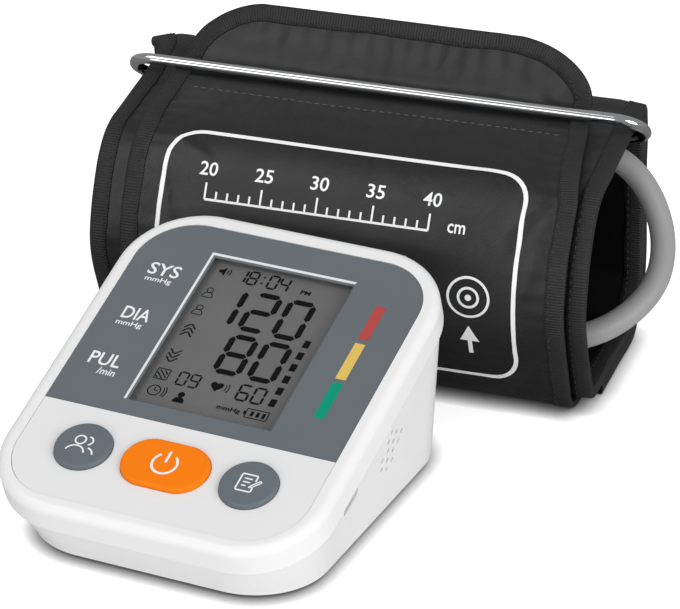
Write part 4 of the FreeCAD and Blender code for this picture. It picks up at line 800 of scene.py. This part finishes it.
STRIP["swell"] = strip_swell
rows, columns = 256, 104
t, share = np.meshgrid(np.linspace(0.0, STRIP["length"], rows), np.linspace(1.0, 0.0, columns),
                       indexing="ij")
s = RIGHT_END + (left_end(t) - RIGHT_END) * share
swell = strip_swell(s, t)
inner_waves = 0.15 * np.sin(s / 11.0 + np.sin(t / 15.0)) * np.sin(t / 9.0)
points, flat = cloth_shell(STRIP, s, t, swell, swell - STRIP_T + inner_waves)
faces = shell_faces(rows, columns)
chosen = np.arange(len(faces)) >= (rows - 1) * (columns - 1)
strip = new_piece("cuff_strip", points, faces, [nylon, lining], flat=flat,
                  chosen=chosen)
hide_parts("cuff_outer_cover", "bladder", "cuff_inner_lining")
print("strip", rows, "x", columns)

# %% [markdown]
# ## Bindings
# A ribbed tape is folded over every raw edge and sewn through. Its section is a narrow U, which
# is carried along the edge, so the tape follows the cloth's height. Its edges waver by a
# fraction of a millimetre, as anything sewn by hand does.

# %% Tape along an edge


def tape_section(thick):
    """Closed outline of a folded tape round cloth of some thickness: how far in from the edge,
    and how high. It goes over the top, round the edge, back below, and back inside."""
    low = -thick - TAPE_T
    return np.array([
        (TAPE_W, 0.03), (TAPE_W - 0.2, TAPE_T), (TAPE_W - 2.0, TAPE_T + 0.08), (3.0, TAPE_T + 0.12),
        (1.0, TAPE_T + 0.06), (0.1, TAPE_T - 0.12), (-0.3, -0.2 * thick), (-0.38, -0.5 * thick),
        (-0.3, -0.8 * thick), (0.1, low + 0.12), (1.0, low - 0.06), (3.0, low - 0.1),
        (TAPE_W - 2.0, low - 0.06), (TAPE_W - 0.2, low), (TAPE_W, -thick - 0.03),
        (0.25, -thick - 0.03), (0.25, 0.03)])


def along_edge(edge):
    """Length so far along an edge of the flat cloth, and its unit normal into the cloth."""
    length = so_far(edge)
    return length, to_left(unit(np.gradient(edge, length, axis=0)))


def ring_faces(rings, around):
    """Quads of a tube of rings, and one face over each end."""
    first, last = np.arange(around), (rings - 1) * around
    quads = np.concatenate([wall_faces(first, around) + start for start in range(0, last, around)])
    return [*quads.tolist(), first[::-1].tolist(), (first + last).tolist()]


def binding(name, line, edge, thick):
    """Tape carried along an edge: each point of its section is so far in along the edge's
    normal, and so high above the cloth."""
    length, inward = along_edge(edge)
    section = tape_section(thick)[::-1]
    waver = 0.22 * np.sin(length / 7.0) + 0.13 * np.sin(length / 3.1 + 1.0)
    depth = section[:, 0] + np.where(section[:, 0] > 4.0, 1.0, 0.4) * waver[:, None]
    place, base = (edge[:, None, :] + far[:, :, None] * inward[:, None, :]
                   for far in (depth, np.clip(depth, 0.3, TAPE_W)))
    height = section[:, 1] + line["swell"](base[..., 0], base[..., 1])
    flat = np.stack(np.broadcast_arrays(so_far(section), length[:, None]), axis=-1)
    points = lay(line, place[..., 0], np.clip(place[..., 1], 0.0, line["length"]), height)
    return new_piece(name, points, ring_faces(len(edge), len(section)), [grosgrain],
                     flat=flat)


# %% Three bindings
t = np.arange(0.0, STRIP["length"], 1.0)
left_edge = np.c_[left_end(t), t][::-1]
right_edge = np.c_[np.full_like(t, RIGHT_END), t]
t = np.r_[np.arange(PANEL["length"], FLAP_RIGHT[1], -1.0),
          FLAP_RIGHT[1] * (1 - np.cos(np.linspace(math.pi / 2, 0.0, 40)))]
left, right = panel_edges(t)
tip = np.arange(left[-1] + 1.0, right[-1], 1.0)
panel_edge = np.concatenate((np.c_[left, t], np.c_[tip, 0 * tip], np.c_[right, t][::-1]))
for name, line, edge, thick in (("left_binding", STRIP, left_edge, STRIP_T),
                                ("right_binding", STRIP, right_edge, STRIP_T),
                                ("panel_binding", PANEL, panel_edge, PANEL_T)):
    binding("tape_" + name, line, edge, thick)
    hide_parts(name)

# %% [markdown]
# ## Stitches
# Each tape is held by a straight row of machine stitches, 2.6 millimetres apart. A stitch is
# a small rounded lozenge, and all of a row are one mesh: its few points, repeated along the
# row by adding the middle of each stitch.

# %% Rows of stitches
STITCH_PITCH, STITCH_L, STITCH_W, STITCH_H = 2.6, 1.9, 0.42, 0.2
LOZENGE = np.array([(-0.5, 0, 0), (-0.25, -0.5, 0), (0.25, -0.5, 0), (0.5, 0, 0), (0.25, 0.5, 0),
                    (-0.25, 0.5, 0), (-0.22, 0, 1), (0.22, 0, 1)])
LOZENGE_FACES = [(0, 1, 6), (1, 2, 7, 6), (2, 3, 7), (3, 4, 7), (4, 5, 6, 7), (5, 0, 6),
                 (0, 5, 4, 3, 2, 1)]


def stitches(name, line, edge, inward_by, base, material=thread):
    """Row beside an edge, so far in. Each stitch lies along the row, base above the cloth, or
    below it where base is negative."""
    length, inward = along_edge(edge)
    middle = np.arange(STITCH_PITCH, length[-1] - STITCH_PITCH, STITCH_PITCH)
    spot, into = points_at(edge, length, middle), unit(points_at(inward, length, middle))
    part = LOZENGE * (STITCH_L, STITCH_W, STITCH_H)
    place = (spot + inward_by * into)[:, None, :] + part[:, 0, None] * to_left(into)[:, None, :] \
        + part[:, 1, None] * into[:, None, :]
    side = 1 if base > 0 else -1
    height = line["swell"](place[..., 0], place[..., 1]) + base + side * part[:, 2]
    faces = [[len(LOZENGE) * k + corner for corner in face[::side]]
             for k in range(len(middle)) for face in LOZENGE_FACES]
    return new_piece(name, lay(line, place[..., 0], place[..., 1], height), faces, [material])


IN = TAPE_W - 1.2
ON_TAPE, UNDER_TAPE = TAPE_T + 0.02, -STRIP_T - TAPE_T - 0.02
HEM_ENDS = (-137.0, -15.0)
s = np.arange(*HEM_ENDS, 1.0)
hem_edge = np.c_[s, np.full_like(s, HEM)]
seams = [stitches("stitches_" + name, STRIP, edge, IN, base) for name, edge, base in (
    ("left", left_edge, ON_TAPE), ("right", right_edge, ON_TAPE),
    ("left_inner", left_edge, UNDER_TAPE), ("right_inner", right_edge, UNDER_TAPE))]
seams += [stitches("stitches_panel", PANEL, panel_edge, IN, ON_TAPE),
          stitches("stitches_hem", PANEL, hem_edge, 0.0, 0.01, hem_thread)]
print("stitches", sum(len(piece.data.vertices) for piece in seams) // len(LOZENGE))

# %% Keeper of the ring
RING_PIVOT = (39.6, 70.4)
SLEEVE_R, SLEEVE_HALF_T = 2.42, 0.55            # a loop round the wire, sewn to the strip's end
KEEPER_IN = 8.0
loop = np.concatenate(([(ROLL_END - 0.4, RING_PIVOT[1] + 2.55)],
                       arc(RING_PIVOT, SLEEVE_R, 90.0, 410.0, 33),
                       [(ROLL_END - 0.3, RING_PIVOT[1] + 1.6)]))
square = to_left(unit(np.gradient(loop, axis=0)))
section = np.concatenate((loop - SLEEVE_HALF_T * square, (loop + SLEEVE_HALF_T * square)[::-1]))
along = np.arange(-CUFF_W + KEEPER_IN, -KEEPER_IN + 0.5, 1.5)
points = on_cuff(along[:, None], section[None, :, 0], section[None, :, 1])
flat = np.stack(np.broadcast_arrays(so_far(section), along[:, None]), axis=-1)
keeper = new_piece("ring_sleeve", points, ring_faces(len(along), len(section)), [lining],
                   flat=flat)
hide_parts("ring_keeper")

# %% [markdown]
# ## Flat drawings
# Printed ink, the dark shapes of a display and the icons on the buttons are all thin flat
# shapes. Each is drawn in plain millimetres first, as points and faces: a band along a path, a
# filled outline, or a line of lettering. Only then is the drawing laid on its surface, so the
# same few helpers serve the sloping front and the bulging cloth.

# %% Drawing helpers


def band(path, width, closed=False, step=1.2):
    """Line of some width: the path is cut into short steps, and each of its points moves half
    the width to both sides along the normal."""
    path = np.asarray(path, float)
    path = np.concatenate((path, path[:1])) if closed else path
    length = so_far(path)
    at = np.unique(np.round(np.r_[length, np.arange(step, length[-1], step)], 4))
    path = points_at(path, length, at)
    way = np.gradient(path, axis=0)
    if closed:
        way[0] = way[-1] = path[1] - path[-2]
    half = width / 2 * to_left(unit(way))
    return np.concatenate((path + half, path - half)), grid_faces(2, len(path)).tolist()


def filled(outline):
    """Face inside an outline that runs against the clock."""
    return np.asarray(outline, float), [list(range(len(outline)))]


def disc(centre, radius):
    """Filled circle."""
    return filled(arc(centre, radius, 0, 360 - 15, 24))


def block(left, right, low, high):
    """Filled rectangle."""
    return filled([(left, low), (right, low), (right, high), (left, high)])


def together(*drawings):
    """One drawing of several: the face numbers of each move past the points before it."""
    points, faces, start = [], [], 0
    for some_points, some_faces in drawings:
        points.append(some_points)
        faces += [[start + corner for corner in face] for face in some_faces]
        start += len(some_points)
    return np.concatenate(points), faces


def moved(drawing, u, v, size=1.0):
    """Drawing made larger about its origin, then moved."""
    return drawing[0] * size + (u, v), drawing[1]


def lettering(text, middle, width, height, weight=0.012):
    """Words as a drawing: the letters' outlines are filled flat, then fitted into a box. The
    weight thickens the strokes, in parts of the letters' size."""
    curve = bpy.data.curves.new("words", "FONT")
    curve.body = text
    curve.offset = weight
    curve.resolution_u = 3
    holder = linked("words", curve)
    mesh = bpy.data.meshes.new_from_object(holder.evaluated_get(bpy.context.evaluated_depsgraph_get()))
    points = np.empty(3 * len(mesh.vertices))
    mesh.vertices.foreach_get("co", points)
    points = points.reshape(-1, 3)[:, :2]
    faces = [list(face.vertices) for face in mesh.polygons]
    bpy.data.objects.remove(holder)
    bpy.data.meshes.remove(mesh)
    low, high = points.min(axis=0), points.max(axis=0)
    return (points - (low + high) / 2) / (high - low) * (width, height) + middle, faces


# %% Seven bars of a digit
SEGMENTS = {"a": ((-1, 1), (1, 1)), "b": ((1, 1), (1, 0)), "c": ((1, 0), (1, -1)),
            "d": ((-1, -1), (1, -1)), "e": ((-1, 0), (-1, -1)), "f": ((-1, 1), (-1, 0)),
            "g": ((-1, 0), (1, 0))}
DIGITS = {"0": "abcdef", "1": "bc", "2": "abged", "3": "abgcd", "4": "fgbc", "5": "afgcd",
          "6": "afgedc", "7": "abc", "8": "abcdefg", "9": "abfgcd"}


def digit(number, middle, half_wide, half_high, width):
    """Lit bars of one digit. A bar is a long hexagon, and a hair's gap parts it from the next."""
    bars = []
    for name in DIGITS[number]:
        start, end = (np.array(place) * (half_wide, half_high) + middle for place in SEGMENTS[name])
        ahead, r = unit(end - start), width / 2
        side = to_left(ahead)
        first, last = start + 0.12 * width * ahead, end - 0.12 * width * ahead
        bars.append(filled([first, first + r * (ahead - side), last - r * (ahead + side), last,
                            last - r * (ahead - side), first + r * (ahead + side)]))
    return together(*bars)


# %% [markdown]
# ## Picture on the display
# The liquid crystal shows a reading: the time, the two pressures and the pulse in seven-bar
# digits, among small symbols. The lit shapes lie just above the display glass, under the lens.

# %% Reading
INK_ON_GLASS = -3.37
READING = [                         # height, half width, half height, bar, digits and their places
    (49.55, 3.6, 6.95, 1.9, "120", (-11.8, -0.95, 9.8)),
    (32.25, 3.6, 6.95, 1.9, "80", (-0.75, 10.0)),
    (19.4, 1.6, 2.9, 0.75, "60", (7.7, 12.4)),
    (19.6, 1.35, 2.4, 0.6, "09", (-11.8, -8.0)),
    (62.0, 1.35, 2.5, 0.68, "1804", (-12.55, -8.9, -2.4, 1.2)),
]
lit = [digit(number, (u, v), *sizes)
       for v, *sizes, numbers, places in READING for number, u in zip(numbers, places)]
lit += [disc((-5.7, v), 0.36) for v in (60.8, 63.2)]
lit += [lettering("PM", (8.6, 60.65), 3.2, 1.6, 0.035), lettering("mmHg", (6.1, 12.3), 7.4, 2.1, 0.03)]
print("lit shapes:", len(lit))

# %% Symbols of the display


def person(outlined=True):
    """Head over rounded shoulders, about three millimetres wide."""
    shoulders = np.concatenate(([(-1.6, -1.9)], arc((0, -1.5), 1.6, 165, 15, 14), [(1.6, -1.9)]))
    if outlined:
        return together(band(arc((0, 0.95), 0.95, 0, 345), 0.32, True),
                        band(shoulders, 0.32, True))
    return together(disc((0, 0.95), 0.95), filled(shoulders[::-1]))


def ripple(v, rise):
    """Wavy bar that rises or falls in the middle: half a wave each side of a point."""
    u = np.linspace(-1.9, 1.9, 17)
    return band(np.c_[u, v + rise * np.cos(u * 1.65)], 0.5)


def heart():
    """Outline x = 2 sin(a)^3, y = 1.7 cos(a) - 0.6 cos(2a) - 0.25 cos(3a) - 0.1 cos(4a)."""
    a = np.linspace(0, -2 * math.pi, 36)[:-1]
    return filled(np.c_[2.0 * np.sin(a) ** 3, 1.7 * np.cos(a) - 0.6 * np.cos(2 * a)
                        - 0.25 * np.cos(3 * a) - 0.1 * np.cos(4 * a)])


speaker = together(filled([(-1.9, -0.6), (-1.0, -0.6), (0.2, -1.7), (0.2, 1.7), (-1.0, 0.6),
                           (-1.9, 0.6)]),
                   *[band(arc((0.1, 0), r, -42, 42, 10), 0.35) for r in (1.0, 1.8)])
hatched = together(band([(-2, -2), (2, -2), (2, 2), (-2, 2)], 0.35, True),
                   *[band([(a, b), (b, a)], 0.4)
                     for a, b in ((-1.7, -0.9), (-1.7, 0.5), (-1.2, 1.5), (0.2, 1.6))])
clock = together(band(arc((0, 0), 2.0, 0, 350), 0.4, True), band([(0, 1.3), (0, 0), (1.0, 0)], 0.35),
                 *[band(arc((0.3, 0), r, -35, 35, 10), 0.35) for r in (2.9, 3.7)])
battery = together(band([(11.5, 11.0), (18.3, 11.0), (18.3, 14.3), (11.5, 14.3)], 0.35, True),
                   block(10.7, 11.3, 12.0, 13.3),
                   *[block(u - 0.5, u + 0.5, 11.7, 13.6) for u in (13.4, 15.2, 17.0)])
lit += [moved(speaker, -18.2, 62.3), moved(person(), -19.2, 53.2), moved(person(), -19.2, 46.0),
        moved(hatched, -18.3, 19.7), moved(clock, -17.9, 13.3, 0.95),
        moved(person(False), -9.4, 12.8, 1.1), moved(heart(), -0.9, 19.6), battery]
lit += [moved(ripple(v, rise), -18.5, middle) for rise, middle in ((0.75, 37.7), (-0.75, 27.2))
        for v in (-1.6, 0.0, 1.6)]
lit += [band(arc((-0.6, 19.6), r, -28, 28, 8), 0.35) for r in (2.6, 3.5)]
lit += [block(16.4, 18.4, v - 1.45, v + 1.45) for v in (41.7, 37.0, 32.3, 27.5, 22.8, 18.1)]

# %% Laid on the glass
lcd_ink = finish("lcd_ink", (12, 12, 13), 0.5, depth=0.0, shine=0.1)


def on_slope(name, drawing, n, material, body="root"):
    """Drawing laid on the front: u across, v up the slope, n out of it."""
    points, faces = drawing
    return new_piece(name, on_front(points[:, 0], points[:, 1], n), faces, [material], body)


reading = on_slope("display_reading", together(*lit), INK_ON_GLASS, lcd_ink)
print("display points:", len(reading.data.vertices))

# %% Painted highlight on the window's bevel: a pale strip on its upper and left sides only, where the light catches it
WINDOW = (-22.3, 22.3, 6.4, 65.0)               # left, right, low, high
BEVEL_OUTSIDE, BEVEL_INSIDE = (0.92, -0.17), (0.42, -0.67)      # beyond the window, and depth


def window_loop(grow, n):
    """Corners of the window's opening, a little outside it and at one depth."""
    left, right, low, high = WINDOW
    return on_front(np.array([left - grow, right + grow, right + grow, left - grow]),
                    np.array([low - grow, low - grow, high + grow, high + grow]), n)


# The strip's pale colour is a painted highlight, laid only on the two sides that face the key light.
TOP_AND_LEFT = slice(2, 4)
bevel = new_piece("window_bevel_painted_highlight", [*window_loop(*BEVEL_OUTSIDE), *window_loop(*BEVEL_INSIDE)],
                  wall_faces(np.arange(4), 4)[TOP_AND_LEFT].tolist(),
                  [finish("bevel_painted_highlight", (222, 223, 225), 0.3, tone=0.01)])
print("bevel faces:", len(bevel.data.polygons))

# %% [markdown]
# ## Printed labels
# The front panel names its three values in white, and a bar of three colours beside the window
# sorts a reading into high, raised and normal. The buttons carry white line icons, which ride
# on the buttons, so they sink with them when pressed.

# %% Words and colour bars
INK_ON_PANEL, INK_ON_BUTTON = -0.17, 1.23
print_white = finish("print_white", (240, 241, 243), 0.45, tone=0.01)
words = [("SYS", (-34.0, 55.3), 10.0, 4.8), ("mmHg", (-34.2, 50.9), 8.5, 2.4),
         ("DIA", (-34.2, 36.8), 8.8, 4.8), ("mmHg", (-34.8, 32.4), 8.3, 2.4),
         ("PUL", (-35.0, 17.8), 10.0, 4.8), ("/min", (-32.7, 13.4), 5.7, 2.6)]
labels = together(*[lettering(*word) for word in words])
on_slope("panel_words", labels, INK_ON_PANEL, print_white)
BAR_SIDES = (32.4, 35.6)
bars = {"bar_high": ((182, 74, 72), 45.2, 58.7), "bar_raised": ((223, 190, 98), 29.2, 43.5),
        "bar_normal": ((4, 150, 120), 13.8, 27.8)}
for name, (levels, low, high) in bars.items():
    on_slope(name, block(*BAR_SIDES, low, high), INK_ON_PANEL,
             finish(name, levels, 0.45, tone=0.01, shine=0.1))
print("words and bars:", len(words), len(bars))

# %% Icons on the buttons


def profile(u, size):
    """Head as a ring, with one curved line of shoulders under it."""
    return together(band(arc((u, 1.5), 1.55 * size, 0, 345), 0.5, True),
                    band(arc((u, -3.6), 2.9 * size, 165, 15, 16), 0.5))


icons = {
    "user_button": together(profile(-1.3, 1.0), band(arc((1.0, 1.6), 1.5, -70, 95, 12), 0.5),
                            band(arc((1.6, -3.5), 2.7, 80, 14, 10), 0.5)),
    "power_button": together(band(arc((0, 0), 3.7, 128, 412), 0.75), band([(0, 4.6), (0, 0.4)], 0.75)),
    "memory_button": together(
        band([(-2.8, -2.7), (-2.5, -3.0), (1.6, -3.0), (1.9, -2.7), (1.9, -1.4)], 0.5),
        band([(1.9, 1.0), (1.9, 2.7), (1.6, 3.0), (-2.5, 3.0), (-2.8, 2.7), (-2.8, -2.7)], 0.5),
        *[band([(-1.7, v), (end, v)], 0.45) for v, end in ((1.5, 0.8), (0.2, 0.5), (-1.1, -0.3))],
        band([(0.8, -1.6), (1.1, -0.8), (3.2, 1.5), (3.7, 1.0), (1.6, -1.2)], 0.4, True)),
}
BUTTON_PITCH, BUTTONS_V = 25.8, -15.0
for (body, icon), u in zip(icons.items(), (-BUTTON_PITCH, 0.0, BUTTON_PITCH)):
    on_slope(body + "_icon", moved(icon, u, BUTTONS_V), INK_ON_BUTTON, print_white, body)
print("icons on", list(icons))

# %% [markdown]
# ## Print on the cuff
# A cuff says how it goes on: which part lies over the artery, and within which marks the edge
# has to end. Here a ruler of arm sizes, a two-headed arrow and a target stand in a rounded
# frame. The ink is a drawing in the cloth's own flat directions, laid about a tenth of a
# millimetre above its puckers.

# %% Drawing of the print
FRAME_S, FRAME_T = (-132.0, -20.3), (panel_t(h=76.0), panel_t(h=12.5))
MID_T = sum(FRAME_T) / 2
CORNER_R, LINE_W, POINT_L, INK_RISE = 10.0, 1.35, 6.0, 0.12
RULER, RULER_UP, ARROW_UP = (-118.0, -48.0), 14.0, 3.0
TARGET = (-34.0, -4.0)


def rounded(left, right, low, high, r):
    """Rectangle whose corners are quarter circles."""
    return np.concatenate([arc((u, v), r, turn, turn + 90, 9) for u, v, turn in
                           ((right - r, high - r, 0), (left + r, high - r, 90),
                            (left + r, low + r, 180), (right - r, low + r, 270))])


def arrow(tail, head, width, size):
    """Straight line with a point at its head. The point is a grid that narrows to its tip, fine
    enough to follow the cloth."""
    tail, head = np.array(tail, float), np.array(head, float)
    ahead = unit(head - tail)
    side, neck = to_left(ahead), head - size * ahead
    along, across = np.linspace(0, 0.97, 9)[:, None, None], np.linspace(-0.5, 0.5, 7)[:, None]
    point = neck + size * (along * ahead + (1 - along) * across * side)
    return together(band([tail, neck], width), (point.reshape(-1, 2), grid_faces(9, 7).tolist()))


# The drawing's own directions are s to the right and up = -t, from the middle of the frame.
half_high = (FRAME_T[1] - FRAME_T[0]) / 2
marks = [band(rounded(*FRAME_S, -half_high, half_high, CORNER_R), LINE_W, True),
         band([(end, RULER_UP) for end in RULER], 0.7)]
marks += [band([(s, RULER_UP), (s, RULER_UP + (5.0 if k % 5 == 0 else 2.6))], 0.6)
          for k, s in enumerate(np.linspace(*RULER, 21))]
marks += [lettering(str(20 + 5 * k), (s, 23.2), 5.6, 4.2) for k, s in enumerate(np.linspace(*RULER, 5))]
marks += [lettering("cm", (-39.5, 15.6), 5.4, 2.8)]
marks += [arrow((sum(RULER) / 2, ARROW_UP), (end, ARROW_UP), LINE_W, POINT_L) for end in RULER]
marks += [band(arc(TARGET, r, 0, 354, 40), 0.8, True) for r in (3.0, 6.2)]
marks += [disc(TARGET, 1.0), arrow((TARGET[0], -25.0), (TARGET[0], -13.5), LINE_W, POINT_L)]
marks += [band([(s - 3.0, -10.0), (s, -14.5), (s - 3.0, -19.0)], 0.9)
          for s in np.linspace(-116.0, -68.0, 9)]
print("marks on the cuff:", len(marks))

# %% Laid on the cloth
cuff_ink = finish("cuff_ink", (244, 244, 245), 0.55, tone=0.03, grain=0.5, depth=0.03)
points, faces = together(*marks)
s, t = points[:, 0], MID_T - points[:, 1]
cuff_print = new_piece("cuff_print", lay(PANEL, s, t, panel_swell(s, t) + INK_RISE), faces, [cuff_ink])
print("print points:", len(cuff_print.data.vertices))

# %% [markdown]
# ## Studio
# A product picture has wide soft lamps, which shade every edge gently. Here the key stands high
# on the left, a stronger fill on the right, because it lights the upright side of the case, and
# a third lamp low in front. The floor is so bright that it is paper white, but for the soft
# shadow where the object touches it. Its own glow is shown to the camera only, so it adds none
# to the object. Mirror rays see a darker floor and sky, like the black cards that stand beside
# shiny things in a studio, so the chrome and the nylon keep their dark parts.

# %% Floor
FLOOR_GLOW, FLOOR_CARD, SKY_CARD = 0.6, 0.7, 0.4    # glow, and the share that mirror rays lose
CONTACT_REACH, CONTACT_POWER = 0.006, 1.2


def paper():
    """White floor: colour * contact shade * card. The shade is open sky ^ power, for rays that
    the camera sees, straight or through the lens. The card is 1 less a share for mirror rays."""
    material, tree, shader = new_material("paper_white")
    for socket, value in (("Roughness", 0.9), ("Specular IOR Level", 0.0),
                          ("Emission Color", (1.0, 1.0, 1.0, 1.0))):
        shader.inputs[socket].default_value = value
    ray = add(tree, "ShaderNodeLightPath").outputs
    seen = maths(tree, "MAXIMUM", ray["Is Camera Ray"], ray["Is Transmission Ray"])
    card = maths(tree, "SUBTRACT", 1.0, maths(tree, "MULTIPLY", ray["Is Glossy Ray"], FLOOR_CARD))
    sky = add(tree, "ShaderNodeAmbientOcclusion", {"Distance": CONTACT_REACH}, samples=16)
    shade = maths(tree, "MAXIMUM", maths(tree, "POWER", sky.outputs["AO"], CONTACT_POWER),
                  maths(tree, "SUBTRACT", 1.0, seen))
    tree.links.new(shaded(tree, tint(246, 246, 246)[:3], maths(tree, "MULTIPLY", shade, card)),
                   shader.inputs["Base Color"])
    glow = maths(tree, "MULTIPLY", maths(tree, "MULTIPLY", seen, shade), FLOOR_GLOW)
    tree.links.new(glow, shader.inputs["Emission Strength"])
    return material


FLOOR_HALF = 4.0
corners = [(x * FLOOR_HALF, y * FLOOR_HALF, 0.0) for x, y in ((-1, -1), (1, -1), (1, 1), (-1, 1))]
floor = new_piece("floor", corners, [(0, 1, 2, 3)], [paper()], body=None)
print("floor", floor.data.materials[0].name)

# %% Lamps and world
WORLD_LIGHT = 0.54
LAMPS = [                           # name, place, what it faces, side of its square, power
    ("key", (-0.8, -0.85, 1.6), (0, 0, 0.05), 1.0, 7.2),
    ("fill", (1.6, -0.7, 0.7), (0, 0, 0.05), 1.2, 17.5),
    ("front", (-0.3, -1.7, 0.3), (0, 0, 0.02), 0.9, 5.4),
]
for name, place, towards, size, power in LAMPS:
    light = bpy.data.lights.new(name, "AREA")
    light.size = size
    light.energy = power
    aim(linked(name, light), place, Vector(towards) - Vector(place))
scene.world = bpy.data.worlds.new("studio")
scene.world.use_nodes = True
tree = scene.world.node_tree
sky = tree.nodes["Background"].inputs
sky["Color"].default_value = (1, 1, 1, 1)
mirror_ray = add(tree, "ShaderNodeLightPath").outputs["Is Glossy Ray"]
dark_part = maths(tree, "MULTIPLY", mirror_ray, WORLD_LIGHT * SKY_CARD)
tree.links.new(maths(tree, "SUBTRACT", WORLD_LIGHT, dark_part), sky["Strength"])
scene.view_settings.view_transform = "Standard"
print("lamps", [name for name, *_ in LAMPS], "world", WORLD_LIGHT)

# %% Scene brought up to date
bpy.context.view_layer.update()
